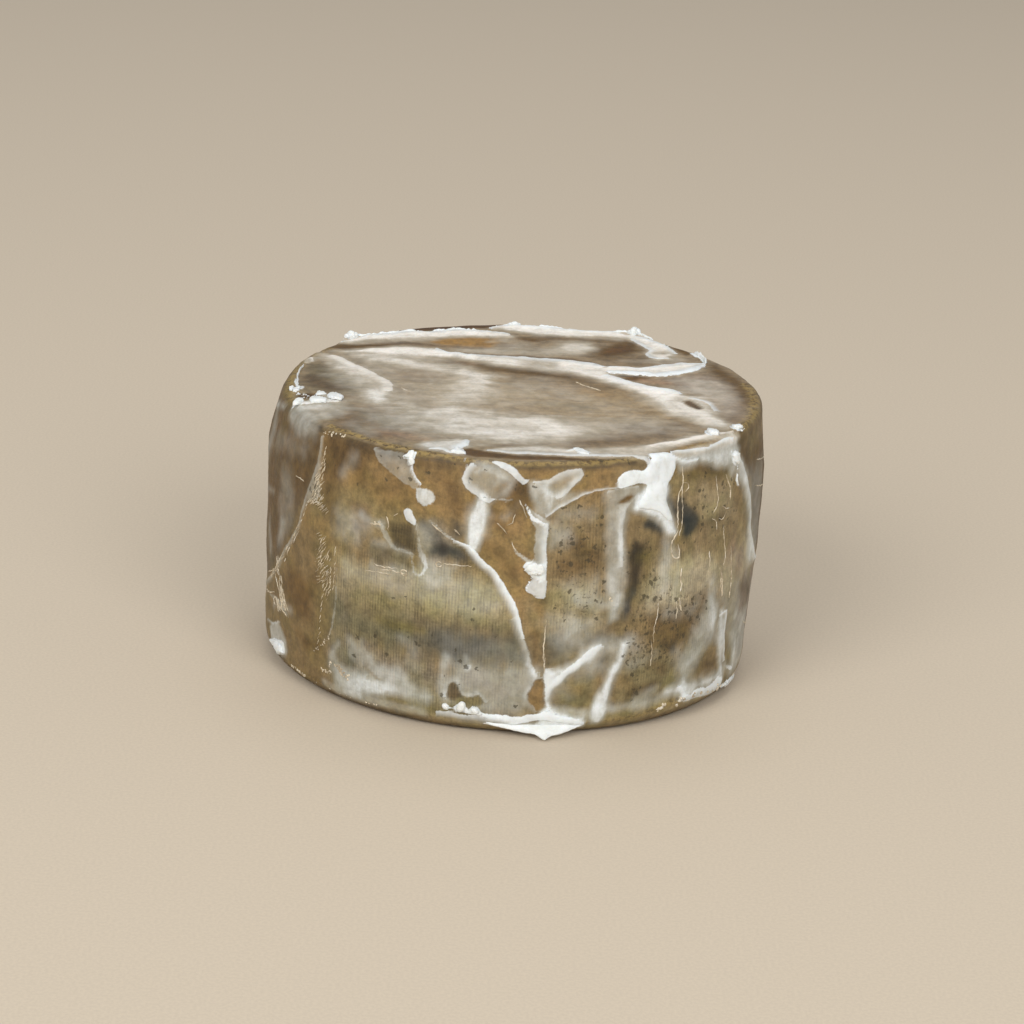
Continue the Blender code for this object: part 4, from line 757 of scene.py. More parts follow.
# Thin, soft lard: kind, strength, softness, outline or path
HAZES = shapes("side", """
# the back
area 0.45 6 -152,60 -142,96 -124,98 -130,70 -146,36
area 0.4 6 112,88 148,97 166,82 140,68
line 0.5 5 134,62,4 140,40,6 137,18,4
line 0.4 5 -171,94,3 -168,60,5 -160,26,4
line 0.45 4 99,92,3 104,58,5 101,26,3
line 0.4 4 -118,44,4 -132,30,6 -150,16,4
line 0.35 4 150,12,3 162,30,4 168,52,3
# left panel
line 0.5 3 -58,97,2.4 -64,96.5,2.6 -69,98,1.6
line 0.4 3 -55,98,2 -60,100,2 -70,101,2
area 0.2 5 -56,92 -66,92 -74,88 -74,84 -64,86 -57,88
area 0.22 4 -62,80 -68,79 -69,62 -66,52 -61,60 -60,70
line 0.35 4 -82,90,4 -80,84,4 -84,78,4
line 0.3 4 -78,50,3 -76,44,3
line 0.3 4 -86,60,4 -88,44,5 -90,30,5
line 0.35 3 -68,50,2 -66,57,2.4
line 0.55 1.4 -75,98,0.8 -82,95,1 -90,92,1
line 0.35 2 -74,66,0.8 -84,62,0.8
area 0.62 1.2 -76.6,10.9 -73.3,14 -67.4,17.4 -65,16 -62.8,12.6 -62.4,9.4 -63,7.6 -66.3,5.8 -71,6.7
  -74.6,7.4
# between the cloth edge and the bulb
line 0.3 2 -60,27,1.4 -66,26,1.8 -72,22,1.4
area 0.32 4 -43,74 -37,76 -34,70 -36,64 -43,66
line 0.25 3 -42,88,2 -40,94,2
area 0.22 2.4 -22,76 -18,77 -17,70 -20,66
area 0.45 2.4 -20,65 -15,64.8 -12,63 -13,57 -17,53 -20,56
# the great blob's soft body and its bluish tail
area 0.96 1.5 26.8,83.4 30,81.9 32.4,80.1 34.9,76.5 37,72.5 38.8,70.7 39.5,72.8 38.6,77 37.2,81.2
  36.2,85 36.8,90 33,92 29,89
area 0.5 1.6 27.6,88 30,92 32,92 31,88 28.4,84
area 0.28 4 -40,56 -26,57 -12,60 -6,58 0,50 -6,46 -16,48 -30,50 -40,50
line 0.3 2 -32,66,1 -28,66.4,1.2 -23,65,1
line 0.35 1.6 -36,75,1 -33,73.4,1.2 -30,74,1
line 0.28 2.4 -32,57,1 -27,57.4,1.4 -22,58,1
line 0.25 3 -24,33,1.4 -21,29,2 -21,24,1.4
area 0.12 4 -14,38 -2,37 4,34 6,26 0,22 -10,22 -14,28
area 0.34 3 -12,27 0,27 8,27 9,20 5,13 -2,12 -11,16
line 0.5 1.8 -13,29,1 -13.4,24,1.4 -13.6,18,1.8 -13,13,1.4
line 0.35 1.2 -8.6,30,0.5 -8.2,26,0.8
line 0.55 0.8 -7.8,25.6,0.9 -8.4,24.8,0.8
area 0.6 2.4 -43,20 -41,16 -34,15.6 -30,21 -24,20.6 -21,17 -16,12.5 -17,10 -26,10 -34,5 -42,5
area 0.55 3 -38,27 -34,27 -31,23 -30,19 -34,18 -37,22
line 0.45 1.6 -46,5.6,1 -38,5,1.6 -28,5.4,1.8 -18,6,1.4
line 0.5 2 -37,10,2.4 -31,11.6,3 -26,12,2
area 0.28 2 -12,13 -4,13 4,13.6 6,10 2,8.6 -4,9.4 -10,11
line 0.35 1.6 -41,24,0.8 -43.6,18,1 -43,13,1
# bulb and stem
area 0.42 1.6 -10.6,98.6 -9.4,101.5 -6.7,101.8 -2.8,101 -0.6,98.6 0,96 0,93.2 -1,89.4 -4,88.6 -5.1,87
  -6.7,87.4 -8.4,89.2 -10.6,91.4 -11.8,93.8 -11.2,96.2
line 0.45 1.2 -9,97,0.7 -7,98.6,1.2 -4,98,1.4 -2.4,96,1
line -0.55 1 -3.6,91.6,1.4 -2.4,93.4,1
line 0.84 1.3 -6.9,88.4,2.2 -7.3,84,2.7 -7.9,78,2.8 -8.3,72,2.6 -8.2,70,2
line 0.35 2.4 -9.2,84,1.6 -9.8,76,1.6
line 0.25 2.4 -5.6,82,1.2 -6,76,1.4
# tongue, middle ridge and ear
line 0.25 2 -1.6,82,1 1,86,1.2
area 0.62 1.6 3.4,94.6 8,95.4 9.4,90 8,84 6.4,82 5,85 3.8,90
area 0.46 1.2 5,94.6 8,95.6 10,97.4 13,98.6 15.2,98.4 15,96 13,93 11,89.8 9,88.6 7,90
line -0.5 1.2 8.4,93.4,1 10.6,94,1.4 12.6,95.6,0.8
line 0.35 1.2 10,90,1 12,93,1 13.8,95.6,0.9
area 0.4 1.6 8,84 10.4,86.6 13,89 17,91 12,91.4 9.6,89.6 8,87
area 0.38 3 8.2,80 13,79 13.6,75 11.4,72 8.4,72
line 0.25 3 11,83,2 17,84,2
area 0.4 4 9,47 14,46 18,43 17,37 13,36 11,41 9,42
area 0.25 4 12,58 20,60 21,50 14,52
# streams under the great blob
area 0.5 1.8 20.6,91.6 29,91.4 28.6,86 26.6,83 25.8,78 25.8,70 26.6,62 26.2,52 25,44 23.4,43 22.6,52
  21.4,60 21.6,70 21.2,80
line 0.4 1.6 24.4,84,1.2 24.6,78,1.3 24.9,70,1.1 25.2,64,0.8
line 0.3 2 23.4,62,1.8 23.4,55,2
line -0.35 1.6 22.6,75,1.2 22.8,72,1
line 0.35 1.6 24.8,54,1 24.6,48,0.9 24,44,0.8
area 0.45 2.4 36,71 38,70.4 38.4,64 38,56 37,50 35.4,52 35,62
line 0.3 2 39.6,66,0.6 40,56,0.8 39.6,48,0.8
line 0.35 3 36,90,1.4 36.6,86,1.2 37,80,1
area 0.3 3 18,36 24,37 32,35 33,31 28,29 20,30
area 0.3 4 10,40 18,39 20,34 14,30 12,36
# lower right
area 0.8 1.8 9.4,26 12.4,26.6 15.4,29 18,32.6 21,35 21,31 17,27 14,22.6 11,17 9.6,12
area 0.85 1.2 8.8,11 10.4,13.4 12.6,10.4 16,8.8 19.4,7.6 19.6,4 14,4.4 8,4.6
line 0.9 1 1,4,1 6,4,1.4 12,4.4,1.4 19,4.4,1.2
line 0.35 2.4 19,32,2 24,34.6,2.4 29,35.6,2
line 0.85 1.6 22.6,7,3 22.8,12,2.6 23.8,18,2.1 25.2,24,1.9 26.8,29,2 27.4,34,1.8
line 0.45 1.6 19,8,1.4 22,10,2 26,9,1.4
line 0.5 1.6 9.8,12,1.2 14,10.6,1.2 19,9,1
area 0.5 4 43,22 47,32 52,44 56,42 56,30 50,22 46,14
line 0.55 3 52,50,1.6 53,42,1.8 54,34,2
line 0.35 3 42,27,2 44,22,2.4 48,21,2
area 0.7 2 40,13 44,14 47,13 52,12.6 56,12 60,13 61,9 57,9.6 52,9.4 48,8 46.6,7 44,10 40,11
line 0.55 1.6 45,16,1 46,12,1.6 47,8,1
line 0.3 2 32,12,1.6 37,14,2
line 0.45 2 24,10.5,1.6 34,9.6,1.6 40,10.6,1.6
line 0.35 2 62,14,1.2 65,10,1.6 68,8,1.4
line 0.75 1.8 57.4,36,1.6 58,30,2.2 59,22,2.4 60.4,14,2 62,8,2
line 0.5 2.4 66,30,2 66.6,20,2.4 67.6,10,2
line 0.35 3 55.6,36,1 56,26,1.4
# pale reaches at the right
area 0.12 5 31,55 40,58 56,58 80,60 80,44 60,43 40,46 31,46
area 0.28 5 64,84 80,84 80,50 71,50 68,66
area 0.3 4 57,44 66,46 68,34 66,22 58,24
area 0.58 3 69,30 78,28 80,8 70,6 67,16
area 0.35 3 44,14 52,14 62,13 62,7 50,6 44,8
area 0.28 3 15,29 22,30 30,28 36,28 30,24 22,23
line 0.4 3 16,52,1.6 21,50,2 26,49,1.4
line 0.3 3 38,43,2 46,42,2
line 0.7 1.4 56,100,1.6 61,99.6,1.6
area 0.2 4 14,46 22,44 21,38 14,38
area 0.3 3 14,28 21,30 22,24 16,22
line 0.3 2 4.6,31,2 6.6,25,2
area 0.25 3 10.4,20 14,22 16,16 11,14
# right rim band and line
area 0.7 1.8 38.6,101 60,101 61.5,95 60,89.6 58.7,88 56.8,90 54.5,90.6 51.4,92 49,93.8 46,96 42.9,95
  40,94
line 0.35 1.2 42,97,1 50,96,1.4 57,94,1.6
line 0.4 2 58,88,1.4 62,88,2 64.6,84,2
area 0.6 2 61,93 64,87 66.6,80 68.6,74 70,67 70.6,61 73,56 76,51 80,47 90,42 90,40 78,44.6 73,47 70,50
  68.6,54 68.6,60 68,67 66.4,73 64,79.6 61.6,84
line 0.3 3 80,34,2 86,30,2.4
""") + shapes("top", """
# back rim
area 0.9 2.2 -69,51.4 -68,57 -65,61 -58,61.6 -50,64.4 -42,68 -34,69.6 -26,73 -18,73 -8,71 -3,69 -4,67
  -14,66 -20,66.6 -30,64 -38,60.6 -48,58 -58,55 -66,51.6
line 0.4 3 -64,52,1.4 -54,54.6,1.6 -42,58,2 -34,61,1.6
area 0.88 2.2 -12,79.5 -6,82.4 0,83.2 10,82 22,79 32,77.4 42,77.6 46,73 52,66.6 57,59.6 59,53 57,45
  53,43.6 49,47 48,51.6 49.6,56 47,61 44,66 41,70.4 34,71.4 20,70.6 12,72 0,73 -6,75.4
line -0.35 2 52,52,2 56,54,2
line 0.4 3 -14,74,1.6 -6,72,2
line 0.45 2.5 6,72,1.6 24,70.4,1.6 38,69,2
# between
area 0.45 4 -26,49 -12,50.4 4,51 12,57 20,65 27,63 28,54 22,47 10,43 -8,43 -24,45
area 0.5 4 14,62 26,64 28,54 24,48 16,50
area 0.35 4 -8,56 -2,62 4,60 6,54 0,50
line 0.4 2 -12,60,1.4 -6,62,2
area 0.35 3 50,44 60,50 64,46 60,40 52,38
line 0.3 3 40,40,2 50,41,2.4
# the long diagonal
area 0.9 3 -72,40 -58,44.6 -48,48 -34,47.6 -26,42.6 -14,38.6 4,37.6 16,37 26,35 32,31.4 42,32 52,34.4
  62,38.4 68,39 68,33 61,26.6 52,23 42,21.6 34,22 38,16 46,9.6 56,4 60,0 58,-6 54,-14 48,-5 40,4 32,11.6
  25,18 18,22.6 8,25.6 -4,28 -14,31.6 -26,35.6 -38,37.6 -52,38 -66,37.6
area 0.7 4 -48,47 -32,47 -24,41 -30,36 -44,35 -54,37 -58,42
line 0.3 4 -10,30,1.5 6,26,2 20,20,2.5 30,13,2
line -0.3 2.5 -44,36,1.6 -34,34,2 -24,36,1.4
area 0.72 3 54,4 60,-0.6 67,-2.6 70,-10 71.4,-19 72,-28 74.5,-34.6 77,-38 73,-41 66,-38 60,-31 55,-25
  52,-18 48,-8 46,0
line 0.5 2.4 58,-12,1.6 62,-20,3 68,-28,3 73,-35,2
line 0.35 3 44,-4,3 50,-14,3.4 56,-24,3
# fans at the left
area 0.62 3 -77,38 -71,35.6 -63,26 -54,14 -47,3 -46,-8 -47,-20 -50,-26 -55,-20 -57,-4 -62,8 -69,20
  -75,32
line 0.45 3 -56,3,2.4 -52,-6,3 -51,-18,3
area 0.55 4 -66,38 -54,36 -42,31 -30,24 -18,20 -10,16 -10,6 -14,0 -22,2 -22,12 -34,19 -46,24 -56,31
line 0.4 4 -20,16,2.4 -14,10,3.4 -14,2,3
area 0.35 5 -24,2 -12,2 -8,-12 -14,-24 -26,-28 -28,-14
line 0.3 2.5 -76,30,1 -66,16,1.4 -60,4,1.4
line 0.25 3 -30,28,2 -18,25,2
area 0.48 3 -80,-29 -72,-25.6 -63,-23 -58,-30 -62,-42 -72,-48 -79,-40
line 0.45 2.4 -76,-33,2.4 -68,-30,3
line 0.5 1.4 -81,27,0.8 -78,29,1.2 -77.4,25,1
line 0.25 3 -58,-50,3 -50,-60,3
# the pale field in front
area 0.45 9 -40,-24 -10,-26 10,-32 30,-40 26,-54 6,-63 -20,-62 -34,-46
area 0.5 5 -24,-34 -8,-40 8,-34 20,-42 24,-52 10,-60 -14,-62 -24,-52
line 0.35 4 -30,-34,3 -20,-28,3 -10,-30,3
line 0.3 4 6,-34,2.4 12,-44,3 14,-54,3
line -0.25 4 -18,-52,2.4 -6,-46,3 4,-48,2.4
area -0.35 2 -22.5,-45 -19,-46.4 -17,-45 -19,-43.8
area 0.25 8 -30,4 0,2 30,-6 46,-16 40,-32 0,-24 -24,-20
area 0.3 5 56,8 70,14 80,6 80,-20 74,-30 72,-12 66,0
line 0.35 3 58,16,1.6 68,16,2 78,12,2
area 0.25 6 -50,-28 -38,-30 -30,-44 -38,-52 -48,-44
area 0.42 8 -62,34 -40,30 -20,24 -6,14 -4,-10 -20,-24 -40,-30 -56,-28 -62,-10
area 0.35 8 -56,-34 -20,-30 20,-30 50,-30 60,-42 40,-54 0,-62 -30,-64 -50,-54
area 0.3 6 -6,14 10,14 26,2 24,-10 0,-8
area 0.35 6 60,24 74,20 78,0 74,-10 66,-4 60,8
area 0.14 6 50,-26 58,-34 62,-44 48,-48 30,-44 34,-34
area 0.36 5 -70,22 -62,24 -59,6 -65,0 -71,8
area 0.36 6 -60,42 -26,42 -24,30 -40,24 -58,24
area -0.3 5 -58,14 -38,14 -38,-8 -58,-8
area -0.3 4 0,42 14,42 14,26 0,26
area 0.22 5 -24,52 -2,52 -4,44 -22,44
area 0.22 5 -20,-57 20,-57 20,-66 -20,-66
area 0.2 5 -24,-16 0,-16 0,-28 -24,-28
# front rim
area 0.78 2.4 -34,-71 -31,-66.6 -20,-63 -15.8,-64 -15.8,-70 -18,-74.4 -17,-79 -23,-78.4 -30,-75.6
area 0.64 2 -10,-74.6 -4,-70.6 4,-67.6 10,-67.4 18,-69.4 30,-67 40,-64 46,-61 54,-55 62,-49 68,-46
  76,-41 78,-44 70,-52 62,-56.6 54,-64 47,-70 46,-75.4 34,-76.4 20,-77.4 6,-77.4 -4,-76.6
line 0.45 2 46,-64,2 56,-58,2 66,-50,1.6
line 0.35 2 -2,-73,1.4 10,-71,1.6 20,-72.6,1.4
""")

# Coats of lard: kind, layer, opacity, thickness, outline or path
COATS = shapes("side", """
# left
area film 0.34 0.9 -51.2,98.6 -51.6,93.4 -51.9,86.9 -52.7,80.9 -54.2,74.5 -53.6,73 -52,73.4 -50.2,74.8
  -48.8,76.4 -49.4,79 -50,82.4 -50.2,86.2 -50.6,90 -50.6,98.6
line film 0.34 0.3 -42.6,52,0.3 -42.4,44,0.4 -42.8,36,0.5 -43.6,29,0.5 -45,24,0.3
edge film 0.46 0.8 -51.7,98,2 -51.5,95,2 -51.8,90,2.2 -52.2,86,2.6 -53,81,3.4 -54.2,77,4.4 -55.1,72,2.6
  -56.4,67,2 -57.4,62,2.2 -59.4,57.4,2.8 -61.6,53,2.4 -64.4,48,3 -67,42.6,3.4 -69.8,38,2.6 -74,33.4,2.6
  -79,29,3 -86,24,3
line film 0.35 0.2 -77,24,0.6 -70,26,0.9 -64,25.6,0.9 -61,23.6,0.4
area lard 0.8 0.9 -74.4,7.6 -70.6,9.8 -65.4,11.8 -63.4,11.4 -63,7.8 -66.3,6 -68.1,7 -71,6.9
edge film 0.6 0.5 -80,12.4,-1.8 -74,14.6,-1.8 -69.6,17,-1.6 -66.6,19.4,-1.2
area film 0.34 0.3 -34.3,99.4 -30.3,100.5 -26.4,100 -24.9,98.9 -23.9,95.6 -22.6,92 -21.6,90.4 -22.4,88.6
  -25.3,89.6 -28.3,91.9 -31.4,94.4 -33.8,97.4
edge film 0.45 0.3 -34.4,99,2.4 -33.4,97,2.4 -31.2,94.4,2.2 -28.3,91.9,2 -25.3,89.7,2 -22.8,88.4,1.4
area film 0.74 0.6 -22.4,89 -20.2,89.4 -18.4,88.5 -17.6,86.6 -18.2,84.2 -20.2,82.7 -21.9,84 -22.5,86.8
edge lard 0.95 1 -23.4,98.4,-1.6 -23.4,95.4,-1.6 -22.2,92.4,-1.6 -21,90.6,-1.4
area lard 0.9 1.1 -26.4,99.6 -25.4,99.8 -24.8,101.2 -23.4,101.4 -23.3,99.6 -23.6,97 -24.6,96.4 -25,98.4
  -26.2,98.4
area lard 0.72 0.6 -25.1,80.1 -24.1,81.4 -22.9,80.9 -22.3,78.6 -21.7,77 -21.5,74.6 -22.8,75.6 -24.4,77
  -25,78.6
line film 0.46 0.5 -21.3,76,0.5 -21.0,71.1,0.6 -20.5,67.3,0.9 -19.4,64,1.1 -18.7,61,0.7
line film 0.44 0.4 -22,64.6,0.4 -21.9,61,0.5 -21.8,58.6,0.5 -21.1,57.2,0.6 -19.9,57.4,0.6 -19,59.4,0.6
  -18.8,62,0.7
line film 0.38 0.4 -31.2,74.4,0.5 -29.8,72,0.9 -28.9,69.4,1.0 -27.4,66.4,0.9 -26,65.4,0.7 -23.6,65.2,0.6
  -22,65,0.5
# the bulb and its stem
edge lard 0.66 0.5 -10.2,100.6,3 -11.2,98,3 -12.1,95,3.2 -11.8,93.4,3.4 -10.6,90.8,3.6 -8.6,88.7,3.8
  -6.7,86.9,3.6 -5.2,86.5,2.8 -4.2,87.8,1.8
line lard 0.7 0.5 -5,101.4,0.6 -2.4,100.2,1.2 -0.4,98.2,1.4 0.8,96,1.3 2.0,94.8,1.1 3.2,95.4,0.5
line film 0.55 0.5 -4.4,87.9,0.3 -2.6,88.2,0.4 -1.7,87.6,0.5 -0.4,88.2,0.25
# the long arc
edge lard 0.92 0.8 -12.9,72.4,-0.9 -10.9,71.8,-1.8 -9,70.9,-2.7 -7.6,69.4,-3.4 -6.3,67.2,-3.5
  -5.1,65,-3.3 -3.2,62.6,-3.3 -1.9,60,-3.6 -1.1,58.2,-3.9 0.4,54.2,-4.1 1.8,50.6,-4.1 2.7,47.6,-3.5
  3.3,44.4,-2.7 3.7,41,-2 4.2,38,-1.2
edge film 0.56 0.5 2.4,46,-3.6 3.5,40.2,-3.6 4.4,37,-3 5.3,33.4,-3 6.1,29.6,-3.6 7.2,26.6,-4 7.8,24,-3
line film 0.5 0.4 -18.6,77.8,0.4 -16.6,76,0.5 -14.6,73.8,0.5 -12.6,72.2,0.6
# the middle ridge
area film 0.5 0.5 2.7,86.6 5.2,84 8.2,81 8.1,60 5.6,60.6 5.2,66 5.3,72 5.2,78 4.4,81.4 3.4,84
line lard 0.85 0.6 2.6,86.8,0.3 3.6,84.2,0.6 4.8,81.8,0.8 6.2,80.8,0.7 7.4,79.6,0.5
edge lard 0.6 0.7 8.0,80.6,-3 8,76,-3.8 8.1,70,-3.8 8.3,66,-4 8.4,60,-4 8.5,53,-3
area lard 0.96 1 3,64.4 3.6,65.8 4.6,66.6 6.4,65.8 8.2,66.4 8.4,60 7,58.6 6.2,60 5.2,60.4 4.4,62.2
  4.4,63
area lard 0.66 0.7 5.6,60 4.4,59.4 3.6,57 3.9,55.4 5.2,54.6 6.8,53 8.4,52.6 8.6,59.6 7,59
line film 0.62 0.5 0.7,70.8,0.4 2.0,68.8,0.6 3.4,67.2,0.8 4.4,66.4,0.7
# the ear
edge lard 0.52 0.5 4.2,95.2,-2 7.6,96,-2.4 10,97.8,-2.4 12.6,99,-2.6 14.8,99.3,-2.6 15.7,97.6,-2.6
  15.1,95.5,-2.4 13.8,93.8,-2.4 12.3,91.4,-2.4 10.7,89.4,-2.4 9.6,88.9,-1.8
edge lard 0.66 0.7 7.4,82.6,1.2 9.9,85.2,1.5 12.6,87.8,1.6 15.3,89.8,1.2 18,91,0.9 21,91.5,0.8
  24,91.8,0.8
# the great blob with its lobe, branch and stream
area lard 0.96 1 32,100.9 32,102.6 32.5,103.6 34,103.6 35.9,102.4 37.1,101.4 38.5,99.4 38.8,97 37.9,93.6
  36.8,91.4 36.2,89.6 36,87.4 35.9,85 36.6,82 37.6,79 38,76.6 36.8,77.4 35.2,79.4 33.4,81.4 31.2,82.9
  28.8,84.2 28.6,86 29.4,87.4 30.3,89.2 30.8,91.2 30,92.2 28.7,92.4 27.3,92 24.6,91.4 23.5,91.7
  23.4,93.7 23.7,95.6 24.8,96.8 26.1,97.5 28.1,97.3 30,96.8 30.4,97.4 31.2,99.1
edge lard 0.95 1 36,103.2,-2.2 37.2,101.6,-2.4 38.6,99.8,-2.4 40.4,98.2,-2.2 42.4,97.8,-1.8
  45.2,97.4,-1.6
edge film 0.22 0.5 28.4,88.6,-1.6 27,86.4,-2.4 26,84.2,-2.6 25.7,81,-2.6 25.5,77,-3 25.6,70,-3
  26,63,-2.4
edge film 0.5 0.4 20.6,91.4,-1.8 24,91.9,-1.8 28.6,91.8,-1.8
# the band under the right rim and the line that runs on from it
edge lard 0.8 1 38,102.4,-2.4 42,101.4,-2.2 46,100.6,-2 50,100.8,-2 55,100.8,-2.2 59,100.2,-2
area lard 0.9 1.2 57.6,94.6 59.2,95.4 60.6,94.6 61,92.4 60.6,89.6 59.2,89.6 58,91.2
line lard 0.85 1.1 60.4,86,0.5 60.6,84,0.7 61.1,82,0.6 61.8,80.8,0.3
edge lard 0.62 0.9 61,93.4,-2.6 63.4,88.6,-2.6 65.6,83.4,-2.8 67.4,78,-3 69,72.4,-3 69.9,67.6,-3
  70.6,62.8,-2.8 71.4,59.4,-3 73,56.4,-4 75.4,51.6,-4 78,48,-3.4 82,45.4,-3 90,42,-3
# low down
area lard 0.96 1.3 -13.8,10.2 -12.8,11 -12.1,10.6 -11.2,9.6 -10.7,9.4 -10.3,10.8 -9.5,11.8 -8.6,11.8
  -8,10.5 -7.4,9.6 -6.8,10.4 -6.2,11 -5.3,10.3 -4.2,8.3 -1.6,8.6 0.3,8.7 1.8,8.2 3,7.4 3.9,4.6 2,4.6
  -0.6,6 -2.8,6.7 -4.6,6.9 -6.2,7.8 -8.6,8.5 -11.2,8.6
edge lard 0.55 0.6 -15,7.8,-3 -11,7.8,-3 -6,7.4,-3 -2,6.4,-2.6 2,5.6,-2
area lard 0.88 1.1 2,7.2 3.4,8 4.9,8.2 6.6,9.1 7.6,9 9.1,10 10.6,11.4 11.6,10.6 12.5,9.2 14.3,8.2 17,7.4
  19.4,6.2 19.6,4.2 16.4,4.8 12.6,6.4 9.6,6.8 6.8,6 4.4,5 2.4,5
edge film 0.45 0.3 -12.6,13,3 -12.2,16,3 -11.8,18,3 -11.1,19.4,3 -10.4,19.1,3 -9.8,17.1,3 -9.2,14.8,3
  -8.4,14,3 -6.2,14.7,3 -5.4,15.5,3 -4.4,13.4,3 -3.8,12.4,3
edge film 0.45 0.3 8.4,10,2 7.5,12.1,3 6.4,13.8,4 5.7,16.2,4 6.4,18.4,4 7.6,22,3.6 8.8,22.6,3
edge film 0.62 0.5 9.3,26.6,4 9.2,23,4.4 9.4,19,3.6 9.4,15,2.4 9.8,12,1.8
edge film 0.55 0.4 9.6,13,-3 10,18,-4.2 11.6,22.4,-4.4 14.4,27,-4.4 17.2,31,-4.2 20,34.2,-3.4
  22,35.6,-2.6
edge lard 0.8 0.8 56.4,35.6,-1.4 58.6,36.4,-1.6 60.2,35.8,-2.4 60.3,31.6,-3.4 60.7,26,-3.4 61.6,20,-3
  62.6,15,-2
edge film 0.65 0.5 44.6,14,-2 46.2,10.6,-2.2 47.6,7.2,-1.6
area lard 0.85 0.9 61.4,5.4 65,5.8 69,5.4 73,4.4 71,2.6 67.6,2.2 64.6,3.6
area film 0.6 0.5 62.6,12.4 64.4,10.4 67,9 68.6,8.4 67.4,10.4 64.6,12
area film 0.72 0.9 43.4,7 46,9.4 48,8.4 51,9.8 54,8.6 57,9 59.6,10.6 62,8.6 62.6,4 57,4.4 52,5.4 47,6
""") + shapes("top", """
# back rim
edge lard 0.95 1.6 -69.6,51.4,-2.4 -68.4,57,-3 -66.6,61.8,-4 -64,61.6,-4 -60,62,-4.4 -55,64,-5
  -50,66.4,-5 -45.6,68.8,-5 -40,69.4,-5 -35,71,-5 -30,73.4,-5 -27,75.2,-5 -22,75,-5 -16,74,-4.6
  -10,72.6,-3.4 -4,70,-2
edge lard 0.92 1.5 -13,78.4,-2 -10,81.4,-3.4 -4,83.6,-5 0,83.6,-6 10,82.6,-6 20,80.2,-5 28,78.2,-4.4
  36,78.4,-4.4 42,78.4,-5 45.4,76,-6 50.4,70.4,-6 55.4,63.4,-5 58.8,57,-4 60.4,52.4,-3
edge lard 0.7 0.8 56.6,44.4,-2 53.1,43.4,-2.4 49,46.6,-3 47.7,50.9,-3 49.5,55.3,-3 47,60.4,-3
  44.2,65.3,-3 42.4,69.6,-2.4
# the long diagonal with its branch
edge lard 0.85 1.2 -31,47.6,-4 -26.3,43.2,-6 -20.6,41.4,-6 -13.4,40.6,-5 -2.7,40,-5 10.2,39.6,-5.4
  17.4,38.7,-6 24.5,37.2,-8 29.5,35,-7 33.1,31.4,-5
edge lard 0.9 1.2 33.4,31.6,-4 41.6,33,-5 43.1,31.4,-5 50.2,35,-6 57.4,39,-6 63.8,40,-6 69.4,40.6,-5
edge lard 0.97 1.3 33,21.8,4 38,22.6,4.4 42,22.2,5 46,22.8,5 51,21.4,5 56.6,23.8,6 60,24.6,6 62,26.4,6
  67.4,31,6 69.8,37,4
edge lard 0.8 1.1 33,21,-7 36,18.4,-8 41.6,13.1,-8 50.2,7.4,-8 57.4,4,-8 60.4,-0.8,-7
edge lard 0.6 0.8 59,-9.6,4 61.2,-14,4 64.8,-18.8,4
edge lard 0.6 0.7 61.6,-5.6,2 66,-8,3 69.4,-12,3 70.6,-20,3
line lard 0.92 1.4 69.6,38,0.5 70.2,43,0.7 69,47,0.9 67.6,50.5,1.3 66,53.5,0.8
# left
edge film 0.5 0.6 -70,35,-5 -62,24.4,-6 -53,11.6,-6 -46.4,1,-6 -45.2,-10,-5
area film 0.6 0.9 -80.6,-29.6 -79.9,-24.7 -78.4,-23.2 -75.4,-25.6 -74.3,-22.1 -70.6,-22.2 -68.9,-24.2
  -68.9,-20.6 -71.4,-17.4 -72.8,-14.2 -71.2,-14.6 -69.8,-17 -67.4,-15.6 -65.4,-17.4 -62.7,-21.3
  -63.4,-25.2 -68.4,-27.2 -74.9,-29.6
line lard 0.88 1.2 -80.6,21,0.3 -81.4,14,0.5 -82,8,0.4 -81.2,-3,0.7 -80.4,-8,0.5
area film 0.5 0.6 -81,27 -77.6,30 -76.8,25 -78.4,21.6 -81,22
area lard 0.7 0.9 -79.6,-11.4 -78,-12 -77.6,-8 -79.4,-6.6
line film 0.6 0.4 -77.4,-15,0.4 -76.4,-17,0.7 -77.4,-19,0.4
# front rim
edge lard 0.85 1.2 -15.4,-64.6,-3 -15.6,-67,-4 -15.8,-70,-5 -18.1,-74.4,-6 -17.1,-79.4,-5 -22.7,-78.6,-3
  -25,-76.4,-3 -29.1,-75.8,-2
edge lard 0.6 1 46,-75.4,-3 35,-76.3,-3.4 22,-77.4,-3.4 10,-77.3,-3.4 0,-77,-3 -9.6,-75,-2
line lard 0.62 0.9 18,-72,0.6 21,-70.6,1 25,-73.4,1 22,-76,0.6
edge film 0.55 0.7 46,-62,-2 56,-55.6,-3 66,-48.6,-3 76,-41.2,-2
area lard 0.95 1.8 66.5,-43 69,-42.5 71.5,-45 71,-48.6 68.5,-49.6 66,-47
area lard 0.88 1.2 75,-35.4 77,-37.4 79,-35 80,-38.5 77.8,-41 75.6,-39
""")

# Places where a coat is missing: kind, layer, outline or path
GAPS = shapes("side", """
area lard 23.7,86.3 24.5,87.8 25.8,88.8 27.1,89.1 27.8,88.6 26.4,86.6 24.8,86.1
area film notch
area film 6.4,18.1 7.6,22 8.8,22.6 9.6,20.7 9.8,15 10,11.4 8.6,10.4 7.5,12.1 6.4,13.8 5.6,16.6
area film -12.3,14 -11.9,17.9 -11.1,19.4 -10.4,19.1 -9.8,17.1 -9.2,14.6 -8.4,13.9 -6.2,14.7 -5.4,15.5
  -4.3,13.3 -3.8,12.5 -4.8,11 -7.3,10.8 -9.9,11.6 -11.2,11 -12,13
""") + shapes("top", """
area lard hollow
area film 59.4,-9.4 62,-6.4 64.2,-9.4 66.6,-15 67,-18.4 65,-19 61,-14
""")

